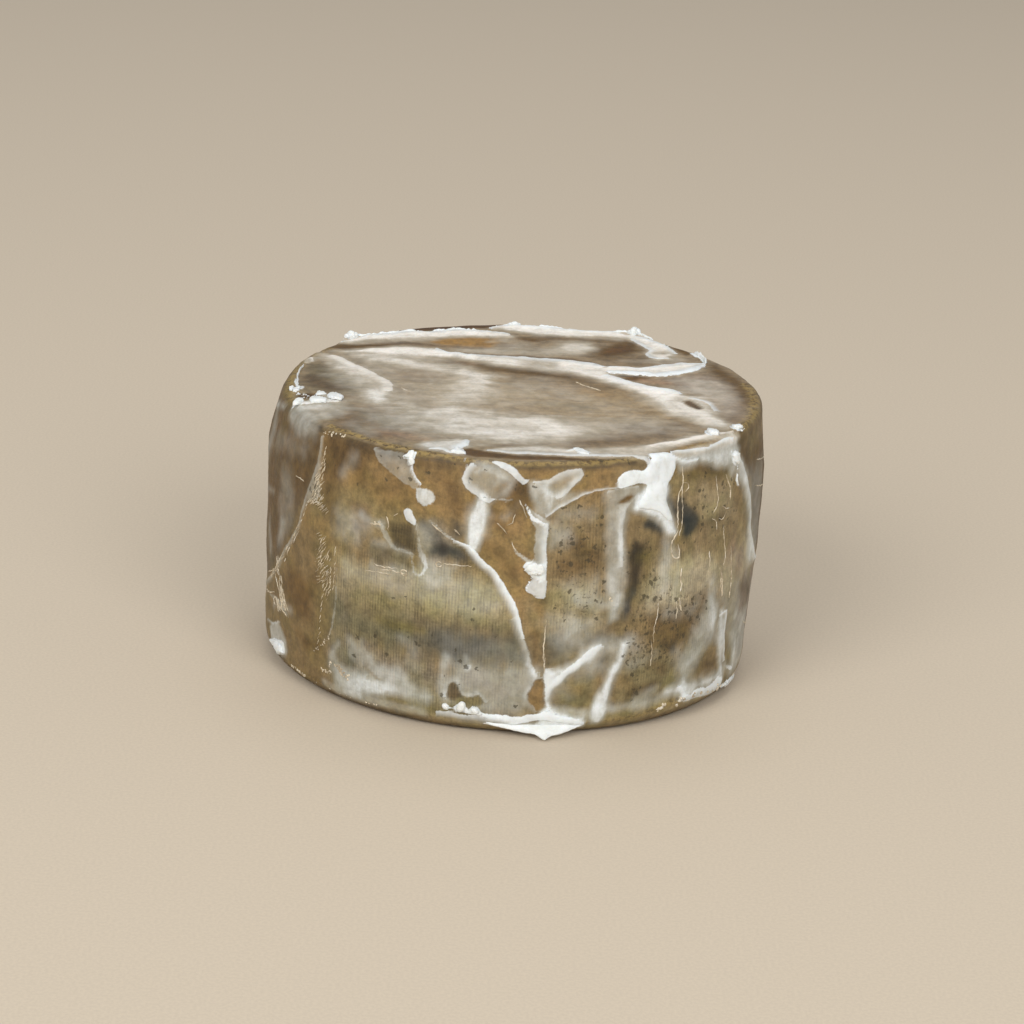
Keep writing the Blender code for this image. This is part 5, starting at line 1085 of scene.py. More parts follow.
# Thin lard wiped off again: kind, strength, softness, outline or path
WIPES = shapes("side", """
area -1 0.6 notch
area -0.9 0.4 6.4,18.4 7.6,22 8.8,22.6 9.6,20.6 9.8,15 10,11.4 8.6,10.4 7.5,12.1 6.2,14 5.6,16.8
area -0.85 0.4 -12.3,14 -12,18 -11.1,19.4 -10.3,19 -9.7,17 -9.2,14.6 -6.2,14.6 -5.4,15.4 -4.2,13.2
  -4.8,11.2 -7.3,10.8 -9.9,11.4 -11.6,12.6
area -0.75 2 28,72 30.6,70 31,66 29.8,60 29.2,53 28.4,47 26.8,47 27.2,54 27.6,62
area -0.6 1.2 39.4,83 40,85.6 41.6,82.4 44.4,79.4 46,76 43,74 41,78
area -0.7 1.2 41,76 41.6,78 43.6,77.6 45.4,75.4 45,71.8 43.4,69.8 41.6,70.8
area -0.6 0.8 -28.6,75 -22.8,75.6 -22,66.4 -26.6,66
area -0.7 1.2 -1.6,88 0,94 2.6,94 3,88 2.6,85 0.4,82
line -0.8 0.6 -33,18,0.5 -31.6,16.4,0.8 -30,15.6,0.5
line -0.6 0.6 -32,14.6,0.4 -28,15.4,0.3
line -0.8 0.8 -33,27,0.7 -32.4,25,1.0
""") + shapes("top", """
area -1 0.8 hollow
area -0.55 1.6 -82,-9 -76,-9 -74.6,-20 -82,-23
area -0.9 1 -18.6,-74 -15,-72 -10,-75 0,-78 24,-79 40,-78 30,-82 0,-82.5 -17,-80
area -0.9 1 37,20.6 39,15.6 43,16 48,21 42,20.6
""")

# Cloth ribs, specks and rim crumb: kind, field, value, softness, outline or path
AMOUNTS = shapes("side", """
area ribs 1 5 -44,62 -10,66 4,46 6,24 2,8 -44,8
area ribs 0.75 5 8,88 22,88 22,40 8,36
area ribs 0.55 5 26,70 60,66 60,10 26,10
area ribs 0.9 1.5 -28,75 -22,75.5 -21.4,66 -27,65.4
area ribs 0.05 4 -52,104 -56,71 -66,46 -78,31 -96,22 -130,20 -130,104
area specks 0.8 4 10,86 20,84 22,46 10,42
area specks 0.9 4 26,76 34,74 34,60 42,50 52,50 50,36 42,26 30,14 26,30 28,44
area specks 0.12 4 -46,100 30,100 26,90 -46,86
area specks 0.5 0.6 -53.6,73.4 -49,76 -49.6,84 -51.8,84
area specks 0.45 4 40,92 60,88 60,66 42,66
area specks 0.12 5 -40,50 2,50 4,12 -40,20
line crumb 1 0.8 -51.6,102.6,1 -44,103.2,1.6 -34,103,1.6 -24,102.4,1.4 -14,101.9,1.1
line crumb 0.8 0.8 -14,101.7,1.2 0,101.7,1.2 16,101.7,1.2 31,101.6,1
line crumb 0.7 1.2 38,102.4,0.8 50,102.8,1.2 60,102.4,1.4 68,101.6,1.2
line crumb 0.8 1.5 66,101.6,1 80,102.8,2 100,103,2
line crumb 0.7 1.5 -120,102,2 -90,102,2 -74,101.6,1.4
line crumb 0.5 0.8 -62,5,0.8 -40,4.6,0.8 -20,4.8,0.7
line crumb 0.7 0.8 20,5,0.8 34,5.6,1 44,7.4,1.6 52,7.4,1.8 60,6,1.2
""")


def paint(canvas):
    for lay, rows in ((canvas.wash, WASHES), (canvas.haze, HAZES + WIPES), (canvas.coat, COATS),
                      (canvas.gap, GAPS), (canvas.amount, AMOUNTS)):
        for row in rows:
            lay(*row)
    light = SIDE_LIGHT + (TOP_LIGHT - SIDE_LIGHT) * canvas.on_top
    sheen = SIDE_SHEEN + (TOP_SHEEN - SIDE_SHEEN) * canvas.on_top
    canvas.tint = np.maximum(canvas.tint - sheen[:, None], DARKEST) / light[:, None]
    grey = canvas.tint.mean(1)[:, None]
    canvas.tint += (grey - canvas.tint) * SIDE_GREYING * (1 - canvas.on_top[:, None])
    canvas.tint *= 1 + canvas.on_top[:, None] * np.array(TOP_WARMTH)
    points = canvas.points
    covered = ease(-0.5, 1.0, canvas.lard)
    uneven = 0.30 * lattice(points + 7, 0.05) + 0.16 * lattice(points, 0.14)
    fine = 0.09 * lattice(points + 33, 0.4) + 0.06 * lattice(points + 61, 0.9)
    lumps = 0.22 * lattice(points + 5, 0.32) * covered
    crumbs = canvas.crumb * (0.35 * lattice(points + 17, 0.55) + 0.25 * lattice(points + 3, 1.0))
    foot = ease(0.5, 9.0, points[:, 2])
    canvas.relief = canvas.relief * (0.8 + 0.3 * lattice(points + 13, 0.22))
    canvas.relief += 0.35 * ease(0.2, 1.0, canvas.veil)
    canvas.relief += (uneven + fine + lumps + crumbs) * foot


# Materials

class Nodes:
    """A short way to lay out a node tree."""

    def __init__(self, name):
        self.material = bpy.data.materials.new(name)
        self.material.use_nodes = True
        self.tree = self.material.node_tree
        self.shader = self.tree.nodes["Principled BSDF"]

    def add(self, kind, inputs=None, **settings):
        node = self.tree.nodes.new(kind)
        for key, value in settings.items():
            setattr(node, key, value)
        for key, value in (inputs or {}).items():
            self.put(node.inputs[key], value)
        return node

    def put(self, socket, value):
        if isinstance(value, bpy.types.NodeSocket):
            self.tree.links.new(value, socket)
        else:
            socket.default_value = value

    def math(self, operation, *values, clamp=False):
        node = self.add("ShaderNodeMath", operation=operation, use_clamp=clamp)
        for socket, value in zip(node.inputs, values):
            self.put(socket, value)
        return node.outputs[0]

    def ramp(self, value, low, high, to_low=0.0, to_high=1.0):
        node = self.add("ShaderNodeMapRange", {"Value": value, "From Min": low, "From Max": high,
                                               "To Min": to_low, "To Max": to_high},
                        interpolation_type="SMOOTHSTEP")
        return node.outputs[0]

    def mix(self, amount, one, two, blend="MIX"):
        node = self.add("ShaderNodeMix", data_type="RGBA", blend_type=blend)
        for socket, value in ((node.inputs[0], amount), (node.inputs[6], one),
                              (node.inputs[7], two)):
            self.put(socket, value)
        return node.outputs[2]

    def field(self, name, output="Fac"):
        node = self.add("ShaderNodeAttribute", attribute_name=name)
        return node.outputs[output]

    def noise(self, vector, scale, detail=3.0, rough=0.55):
        node = self.add("ShaderNodeTexNoise", {"Vector": vector, "Scale": scale,
                                               "Detail": detail, "Roughness": rough})
        return node.outputs["Fac"]

    def stretch(self, vector, scale):
        node = self.add("ShaderNodeVectorMath", {0: vector, 1: scale}, operation="MULTIPLY")
        return node.outputs[0]

    def place(self, per_metre=1000):
        """The place on the object, in millimetres unless another measure is given."""
        place = self.add("ShaderNodeTexCoord").outputs["Object"]
        return self.stretch(place, (per_metre, per_metre, per_metre))

    def total(self, *terms):
        """Adds up sockets; a pair is a socket and what it is multiplied by."""
        parts = [self.math("MULTIPLY", *term) if isinstance(term, tuple) else term
                 for term in terms]
        whole = parts[0]
        for part in parts[1:]:
            whole = self.math("ADD", whole, part)
        return whole

    def times(self, *values):
        """Multiplies values and keeps the product between 0 and 1."""
        whole = values[0]
        for value in values[1:-1]:
            whole = self.math("MULTIPLY", whole, value)
        return self.math("MULTIPLY", whole, values[-1], clamp=True)

    def bump(self, height, strength):
        node = self.add("ShaderNodeBump", {"Height": height, "Distance": MM,
                                           "Strength": strength})
        return node.outputs[0]

    def finish(self, values):
        for key, value in values.items():
            self.put(self.shader.inputs[key], value)
        return self.material


# Colours of the materials, in linear light, and how many cloth ribs go round the wheel
LARD_WHITE = (0.82, 0.865, 0.88, 1)
FILM_WHITE = (0.60, 0.61, 0.565, 1)
FILM_GREY = (0.43, 0.435, 0.385, 1)
SPECK_DARK = (0.045, 0.036, 0.018, 1)
CRUMB_LIGHT = (0.34, 0.235, 0.075, 1)
CRUMB_DARK = (0.07, 0.04, 0.012, 1)
GREENER = (0.93, 1.0, 0.86, 1)
PINKER = (1.16, 1.04, 0.93, 1)
THICK_LARD_DULL = (0.78, 0.80, 0.77, 1)
THICK_LARD_BRIGHT = (0.84, 0.87, 0.87, 1)
# painted shade for the hollows of the white lard's fine bumps
THICK_LARD_HOLLOW_SHADE = (0.62, 0.59, 0.52, 1)
THREAD_DULL = (0.56, 0.46, 0.31, 1)
THREAD_BRIGHT = (0.76, 0.67, 0.51, 1)
THREAD_GREY = (0.72, 0.69, 0.62, 1)
THREAD_DARK = (0.26, 0.19, 0.11, 1)
RIB_COUNT = 500


def rind_material():
    n = Nodes("larded_rind")
    mm = n.place()
    xyz = n.add("ShaderNodeSeparateXYZ", {0: mm})
    around = n.math("ARCTAN2", xyz.outputs[0], n.math("MULTIPLY", xyz.outputs[1], -1.0))
    top = n.field("top")
    grain = n.noise(mm, 1.1, 4.0, 0.6)
    blotch = n.noise(mm, 0.24, 4.0, 0.6)
    cloud = n.noise(mm, 0.07, 2.0)
    rough_edge = n.math("MULTIPLY", n.math("SUBTRACT", n.noise(mm, 1.3, 3.0, 0.6), 0.5), 1.2)
    wide_edge = n.math("MULTIPLY", n.math("SUBTRACT", n.noise(mm, 0.45, 2.0), 0.5), 1.0)
    edge = n.math("ADD", rough_edge, wide_edge)
    down = n.noise(n.stretch(mm, (0.7, 0.7, 0.16)), 0.7, 4.0, 0.62)
    over = n.noise(n.stretch(mm, (0.06, 0.5, 0.3)), 1.0, 4.0, 0.6)
    streak = n.mix(top, down, over)

    # cloth: upright ribs, crossed by fainter level threads
    wander = n.math("MULTIPLY", n.noise(n.stretch(mm, (0.3, 0.3, 0.05)), 1.0, 2.0), 2.6)
    rib = n.math("SINE", n.math("ADD", n.math("MULTIPLY", around, RIB_COUNT), wander))
    rib = n.ramp(rib, -1.0, 0.5, -1.0, 0.8)
    patchy = n.noise(n.stretch(mm, (0.9, 0.9, 0.22)), 1.0, 2.0)
    rib = n.math("MULTIPLY", rib, n.ramp(patchy, 0.34, 0.66, 0.15, 1.4))
    cross = n.math("SINE", n.math("ADD", n.math("MULTIPLY", xyz.outputs[2], 5.4), wander))
    weave = n.total((rib, 0.85), (cross, 0.15))
    worn = n.ramp(n.noise(mm, 0.12, 2.0), 0.3, 0.62, 0.35, 1.0)
    weave = n.math("MULTIPLY", weave, n.math("MULTIPLY", n.field("ribs"), worn))

    # specks of mould: soft uneven dots and smaller flecks
    bent = n.add("ShaderNodeTexNoise", {"Vector": mm, "Scale": 0.9, "Detail": 2.0})
    bent = n.add("ShaderNodeVectorMath", {0: bent.outputs["Color"], 1: (2.2, 2.2, 2.2), 2: mm},
                 operation="MULTIPLY_ADD").outputs[0]
    dots = n.add("ShaderNodeTexVoronoi", {"Vector": bent, "Scale": 0.5, "Randomness": 1.0})
    pick = n.add("ShaderNodeSeparateColor", {0: dots.outputs["Color"]})
    size = n.math("ADD", 0.16, n.math("MULTIPLY", n.math("POWER", pick.outputs[0], 2.0), 0.40))
    inside = n.math("SUBTRACT", size, dots.outputs["Distance"])
    clusters = n.ramp(n.noise(mm, 0.13, 2.0), 0.34, 0.58, 0.15, 1.0)
    crowd = n.math("MULTIPLY", n.field("specks"), clusters)
    keep = n.math("LESS_THAN", pick.outputs[1], crowd)
    dots = n.math("MULTIPLY", n.ramp(inside, -0.05, 0.10), keep)
    level = n.math("SUBTRACT", 0.78, n.math("MULTIPLY", n.field("specks"), 0.23))
    flecks = n.math("SUBTRACT", n.noise(mm, 0.7, 4.0, 0.62), level)
    specks = n.math("MAXIMUM", dots, n.math("MULTIPLY", n.ramp(flecks, -0.03, 0.08), 0.8))

    # the thin lard, the film and the thick lard, each broken up at its edge
    smoke = n.total((streak, 0.4), (blotch, 0.6))
    veil = n.times(n.field("veil"), n.ramp(smoke, 0.30, 0.70, 0.88, 1.06))
    veil = n.times(veil, n.ramp(n.noise(mm, 0.8, 5.0, 0.65), 0.36, 0.64, 0.96, 1.03))
    film = n.ramp(n.math("ADD", n.field("film"), edge), -0.25, 0.45)
    film = n.times(film, n.field("film_amount"), n.ramp(smoke, 0.3, 0.7, 0.82, 1.12))
    lard = n.ramp(n.total(n.field("lard"), (edge, 0.55)), -0.12, 0.28)
    lard = n.times(lard, n.field("lard_amount"), n.ramp(smoke, 0.3, 0.65, 0.88, 1.04))

    # colour, from the rind up to the thick lard
    mottle = n.noise(mm, 0.55, 5.0, 0.7)
    shade = n.total(n.ramp(grain, 0.28, 0.72, 0.93, 1.07), n.ramp(blotch, 0.3, 0.7, -0.22, 0.20),
                    n.ramp(streak, 0.3, 0.7, -0.09, 0.09),
                    n.ramp(mottle, 0.36, 0.64, -0.10, 0.10), (weave, 0.20))
    grey = n.add("ShaderNodeCombineColor", {0: shade, 1: shade, 2: shade}).outputs[0]
    colour = n.mix(1.0, n.field("tint", "Color"), grey, "MULTIPLY")
    green = n.mix(1.0, colour, GREENER, "MULTIPLY")
    greener = n.math("MULTIPLY", n.ramp(cloud, 0.42, 0.66, 0.0, 0.8), n.math("SUBTRACT", 1.0, top))
    colour = n.mix(greener, colour, green)
    crumb_noise = n.noise(mm, 0.6, 5.0, 0.72)
    crumb_colour = n.mix(n.ramp(crumb_noise, 0.38, 0.56), CRUMB_DARK, CRUMB_LIGHT)
    colour = n.mix(n.math("MULTIPLY", n.field("crumb"), 0.85), colour, crumb_colour)
    film_colour = n.mix(n.ramp(n.noise(mm, 0.16, 3.0), 0.38, 0.62), FILM_WHITE, FILM_GREY)
    film_colour = n.mix(n.ramp(n.math("ADD", veil, film), 0.50, 1.0), film_colour, LARD_WHITE)
    pinker = n.mix(1.0, film_colour, PINKER, "MULTIPLY")
    film_colour = n.mix(top, film_colour, pinker)
    colour = n.mix(veil, colour, film_colour)
    colour = n.mix(film, colour, film_colour)
    colour = n.mix(n.math("MULTIPLY", specks, 0.72), colour, SPECK_DARK)
    lard_colour = n.mix(n.ramp(n.noise(mm, 0.3, 3.0), 0.45, 0.75, 0.0, 0.5), LARD_WHITE, FILM_WHITE)
    colour = n.mix(lard, colour, lard_colour)

    # height, in millimetres
    crumb_height = n.math("MULTIPLY", crumb_noise, n.field("crumb"))
    height = n.total((weave, 0.07), (grain, 0.16), (streak, 0.14), (specks, -0.08),
                     (crumb_height, 0.5))
    open_rind = n.math("SUBTRACT", 1.0, n.math("MULTIPLY", lard, 0.8))
    height = n.total(n.math("MULTIPLY", height, open_rind), (lard, 0.34), (film, 0.14))
    rough = n.total(n.ramp(grain, 0.3, 0.7, 0.52, 0.68), (lard, -0.16))
    return n.finish({"Base Color": colour, "Roughness": rough, "Subsurface Weight": 0.12,
                     "Subsurface Radius": (1.0, 0.7, 0.45), "Subsurface Scale": 0.0012,
                     "Specular IOR Level": 0.42, "Normal": n.bump(height, 0.9)})


def lard_material():
    n = Nodes("white_lard")
    mm = n.place()
    soft = n.noise(mm, 0.35, 3.0)
    fine = n.noise(mm, 2.2, 4.0, 0.6)
    colour = n.mix(n.ramp(soft, 0.35, 0.7), THICK_LARD_DULL, THICK_LARD_BRIGHT)
    # painted shade: where the fine bumps dip, the lard is darkened toward its hollow colour
    colour = n.mix(n.ramp(fine, 0.25, 0.45, 0.30, 0.0), colour, THICK_LARD_HOLLOW_SHADE)
    return n.finish({"Base Color": colour, "Roughness": n.ramp(fine, 0.3, 0.7, 0.34, 0.52),
                     "Subsurface Weight": 0.2, "Subsurface Radius": (1.0, 0.85, 0.7),
                     "Subsurface Scale": 0.0012,
                     "Normal": n.bump(n.math("ADD", fine, soft), 0.35)})


def thread_material():
    n = Nodes("waxy_thread")
    mm = n.place()
    fine = n.noise(mm, 1.6, 3.0, 0.6)
    broad = n.noise(mm, 0.2, 2.0)
    broken = n.noise(mm, 0.34, 2.0)
    colour = n.mix(n.ramp(fine, 0.3, 0.7), THREAD_DULL, THREAD_BRIGHT)
    colour = n.mix(n.ramp(broad, 0.50, 0.66, 0.0, 0.6), colour, THREAD_GREY)
    colour = n.mix(n.ramp(broken, 0.42, 0.54, 0.6, 0.0), colour, THREAD_DARK)
    return n.finish({"Base Color": colour, "Roughness": n.ramp(fine, 0.3, 0.7, 0.40, 0.58),
                     "Normal": n.bump(fine, 0.4)})


def put_in_scene(name, data):
    obj = bpy.data.objects.new(name, data)
    bpy.context.scene.collection.objects.link(obj)
    return obj


def mesh_object(name, points, faces, material):
    mesh = bpy.data.meshes.new(name)
    mesh.from_pydata([tuple(p) for p in (np.asarray(points) + AXIS_AT) * MM], [], faces)
    mesh.validate()
    mesh.shade_smooth()
    mesh.materials.append(material)
    return put_in_scene(name, mesh)


def give(mesh, name, values):
    values = np.asarray(values, np.float32)
    if values.ndim == 2:
        data = np.concatenate([values, np.ones((len(values), 1), np.float32)], 1)
        mesh.attributes.new(name, "FLOAT_COLOR", "POINT").data.foreach_set("color", data.ravel())
    else:
        mesh.attributes.new(name, "FLOAT", "POINT").data.foreach_set("value", values)


def make_rind():
    points, quads, triangles, angle, height = make_skin()
    normals = vertex_normals(points, quads)
    canvas = Canvas(points, angle, height)
    paint(canvas)
    shown = points + normals * canvas.relief[:, None]
    shown[:, 2] = np.maximum(shown[:, 2], 0)
    faces = quads.tolist() + [[int(k) for k in face] for face in triangles]
    rind = mesh_object("rind", shown, faces, rind_material())
    mesh = rind.data
    give(mesh, "tint", canvas.tint)
    for name in ("veil", "lard", "lard_amount", "film", "film_amount", "ribs", "specks", "crumb"):
        give(mesh, name, getattr(canvas, name))
    give(mesh, "top", ease(HEIGHT - 3, HEIGHT - 0.5, points[:, 2]))
    return rind, canvas


# Bits that stand on the rind: threads, flakes, lumps and the flap

def ring_faces(rings, around, closed=True, turned=False, peak=False):
    """Four-sided faces between rings with as many points around each, turned to face the
    other way if asked. A peak adds three-sided ones from the last ring to the point after it."""
    faces = []
    for ring in range(rings - 1):
        for k in range(around if closed else around - 1):
            a, b = ring * around, (ring + 1) * around
            n = (k + 1) % around
            faces.append((a + k, b + k, b + n, a + n) if turned else (a + k, a + n, b + n, b + k))
    last = (rings - 1) * around
    if peak:
        faces += [(last + k, last + (k + 1) % around, last + around) for k in range(around)]
    return faces


class Bits:
    """Collects small pieces of mesh into one object."""

    def __init__(self, canvas, seed):
        self.canvas = canvas
        self.random = np.random.default_rng(seed)
        self.points = []
        self.faces = []
        self.count = 0

    def add(self, points, faces):
        self.points.append(np.asarray(points, float))
        self.faces += [[k + self.count for k in face] for face in faces]
        self.count += len(points)

    def spot(self, surface, u, v):
        """Point on the rind with its relief, and its outward normal."""
        def base(u, v):
            return skin(u / PER_DEGREE, v) if surface == "side" else crown(u, v)
        here, right, up = base(u, v), base(u + 0.05, v), base(u, v + 0.05)
        normal = np.cross(right - here, up - here)
        normal = normal / np.linalg.norm(normal)
        _, near, _ = self.canvas.tree.find(here)
        return here + normal * self.canvas.relief[near], normal

    def ribbon(self, surface, text, rise, wavy=0.12, step=0.8, sink=0.25):
        """A low rounded ridge along a path; the third number of a stop is its half-width."""
        stops = numbers(text) if isinstance(text, str) else text
        if surface == "side":
            stops = stops * (PER_DEGREE, 1, 1)
        path = curve(stops, step)
        if len(path) < 3:
            path = curve(stops, step / 3)
        spots = [self.spot(surface, u, v) for u, v, _ in path]
        centre = np.array([s[0] for s in spots])
        normal = np.array([s[1] for s in spots])
        along = np.gradient(centre, axis=0)
        along /= np.linalg.norm(along, axis=1, keepdims=True) + 1e-9
        across = np.cross(normal, along)
        count = len(path)
        share = np.linspace(0, 1, count)
        taper = np.minimum(1, np.minimum(share, 1 - share) * 6 + 0.25)
        half = path[:, 2] * taper * (1 + 0.3 * self.random.standard_normal(count).clip(-1.5, 1.5))
        tall = rise * taper * (1 + 0.25 * self.random.standard_normal(count).clip(-1.5, 1.5))
        centre = centre + across * (wavy * self.random.standard_normal(count).clip(-2, 2))[:, None]
        rows = []
        for side, up in ((-1, -sink / rise), (-0.62, 0.62), (0, 1), (0.62, 0.62), (1, -sink / rise)):
            rows.append(centre + across * (side * half)[:, None] + normal * (up * tall)[:, None])
        points = np.stack(rows, 1).reshape(-1, 3)
        faces = ring_faces(count, 5, closed=False, turned=True)
        faces.append((0, 1, 2, 3, 4))
        end = 5 * (count - 1)
        faces.append((end + 4, end + 3, end + 2, end + 1, end))
        self.add(points, faces)

    def flake(self, surface, text, thick, lift=0.0, dome=0.1):
        """A thin crisp plate of lard with a ragged outline."""
        outline = numbers(text)
        if surface == "side":
            outline = outline * (PER_DEGREE, 1)
        middle = outline.mean(0)
        closed = np.vstack([outline, outline[:1]])
        ragged = []
        for a, b in zip(closed, closed[1:]):
            count = max(int(np.hypot(*(b - a)) / 0.7), 1)
            for k in range(count):
                ragged.append(a + (b - a) * k / count + self.random.normal(0, 0.17, 2))
        ragged = np.array(ragged)
        count = len(ragged)
        rows = []
        for share, up in ((1.0, lift - 0.5), (1.0, lift + 0.6 * thick), (0.86, lift + thick),
                          (0.45, lift + thick * (1 + dome))):
            for place in ragged:
                u, v = middle + (place - middle) * share
                point, normal = self.spot(surface, u, v)
                rows.append(point + normal * (up + self.random.normal(0, 0.06)))
        point, normal = self.spot(surface, *middle)
        rows.append(point + normal * (lift + thick * (1 + dome)))
        faces = ring_faces(4, count, peak=True)
        following = np.roll(ragged, -1, 0)
        area = np.sum(ragged[:, 0] * following[:, 1] - ragged[:, 1] * following[:, 0])
        if area < 0:
            faces = [tuple(reversed(face)) for face in faces]
        self.add(np.array(rows), faces)

    def lump(self, surface, u, v, size, tall):
        """A small rounded crumb of lard."""
        if surface == "side":
            u = u * PER_DEGREE
        point, normal = self.spot(surface, u, v)
        helper = np.array((0.3, 0.2, 0.93)) if abs(normal[2]) < 0.9 else np.array((1.0, 0.1, 0.0))
        one = np.cross(normal, helper)
        one /= np.linalg.norm(one)
        two = np.cross(normal, one)
        spin = self.random.uniform(0, math.pi)
        long = self.random.uniform(1.0, 1.7)
        rows = []
        sides = 12 if size > 0.8 else 7
        rough = 0.06 if size > 0.8 else 0.22
        levels = ((-0.4, 1.0), (0.3, 0.96), (0.65, 0.78), (0.9, 0.42))
        for up, wide in levels:
            for k in range(sides):
                a = 2 * math.pi * k / sides
                x, y = math.cos(a) * long, math.sin(a)
                x, y = x * math.cos(spin) - y * math.sin(spin), x * math.sin(spin) + y * math.cos(spin)
                r = size * wide * self.random.uniform(1 - rough, 1 + rough)
                rows.append(point + one * x * r + two * y * r + normal * up * tall)
        rows.append(point + normal * tall)
        faces = ring_faces(len(levels), sides, peak=True)
        self.add(np.array(rows), [tuple(reversed(face)) for face in faces])

    def crumbs(self, surface, text, count, size):
        """Crumbs strewn along a path; the third number of a stop is how far they stray."""
        path = curve(numbers(text), 1.0)
        for _ in range(int(count)):
            u, v, stray = path[self.random.integers(len(path))]
            du, dv = self.random.normal(0, 0.5, 2) * stray
            if surface == "side":
                du /= PER_DEGREE
            grown = size * self.random.uniform(0.5, 1.5)
            self.lump(surface, u + du, v + dv, grown, grown * self.random.uniform(0.5, 0.9))

    def stitches(self, surface, text, pitch, length, slant, half, chance=0.75):
        """Rows of short slanted strokes, the fringe of the cloth, down a strip of the side.
        A stop is angle, height and how far to each side the strip reaches, in mm."""
        path = curve(numbers(text) * (PER_DEGREE, 1, 1), pitch)
        for place, height, stray in path:
            across = max(int(2 * stray / (0.9 * pitch)), 1)
            for k in range(across):
                if self.random.random() > chance:
                    continue
                u = place + stray * (2 * (k + 0.5) / across - 1) + self.random.normal(0, 0.15)
                v = height + self.random.normal(0, 0.2)
                long = length * self.random.uniform(0.6, 1.3)
                slope = math.radians(slant + self.random.normal(0, 7))
                du, dv = long * math.cos(slope) / 2, long * math.sin(slope) / 2
                stops = np.array([[u - du, v - dv, half], [u, v, half], [u + du, v + dv, half]])
                stops[:, 0] /= PER_DEGREE
                self.ribbon(surface, stops, 0.26 * self.random.uniform(0.7, 1.4), 0.02, 0.5, 0.2)

    def make(self, name, material):
        return mesh_object(name, np.concatenate(self.points), self.faces, material)


# Fringe of the cloth's edge: pitch, length, slant, half-width, how many of the strokes there
# are, and the strip
FRINGE = shapes("side", """
1.2 2.2 72 0.15 -49.4,96,0.6 -49.4,91,1 -49.4,86,1.4
1.2 2.5 60 0.16 0.9 -50,86,1.4 -50,80,2.4 -50,75.6,3.2
1.2 2.6 42 0.17 0.9 -52.6,72.8,1.6 -50,73.6,2.6 -47.4,71.8,2.2
1.25 2.3 62 0.15 -54.2,70.4,0.8 -56,64,0.9 -57.8,58.6,1.2 -59.6,54,1.4
1.3 2.4 57 0.15 -61.4,51,1.4 -64,45,1.8
1.15 2.5 60 0.145 0.9 -47.4,61,1.2 -47.6,55,2.2 -47.2,50,2.4 -46.2,47,1.8 -46.4,43,1.2
1.3 2.2 34 0.12 0.6 -48.9,63,1.2 -48.9,56,1.9 -48.7,50,1.9 -47.8,44,1.4
1.2 2.4 66 0.135 0.85 -45.4,57,1 -45,50,1.6 -45,44,1.3 -45.6,38,0.9
1.4 2.2 64 0.14 0.75 -46.8,40,1.2 -47.2,34,1.2 -47.6,28,1.1 -48,20,0.8
1.4 2 72 0.13 -43.2,60,0.8 -43.1,52,0.8 -43.4,44,0.5
1.9 3.8 -48 0.15 0.45 -63,28,2 -66,26,3 -70,24,3
1.9 3.4 -58 0.15 0.4 -62,38,1.4 -65,36,2 -66,31,2
1.8 3.6 -62 0.14 0.45 -68,42,2.2 -66,34,3 -64,27,2.6
1.6 2.2 50 0.2 -66,44,0.8 -69,38,0.8 -73,33,0.8
""")

# Cream crumbs along the base and at the cloth's foot: how many, size, path
CREAM_CRUMBS = shapes("side", """
26 0.34 -60,5,0.4 -57,4.8,0.7 -54,4.4,0.5
14 0.25 -50,4.2,0.3 -40,4.2,0.3 -30,4.4,0.3
40 0.3 -43.6,15,0.8 -41,15,1 -39.6,13,1.4 -38,12.6,1.4
20 0.26 -46.6,10.6,1 -44,11.6,1.2
18 0.24 -49.6,17.4,0.8 -47,20,0.8 -44,25.6,0.6
26 0.45 38,6.2,0.9 44,7.4,1.6 50,7.2,1.6 55,6.6,1.4 60,5.6,1
26 0.3 60,5,0.6 66,4.6,0.8 72,4.4,0.8
16 0.22 -51,99,0.5 -48,100,0.6 -44,100.8,0.6
10 0.22 -33,72.6,0.6 -31,73.6,0.6
8 0.25 23,52,0.6 24,50,0.8
""")

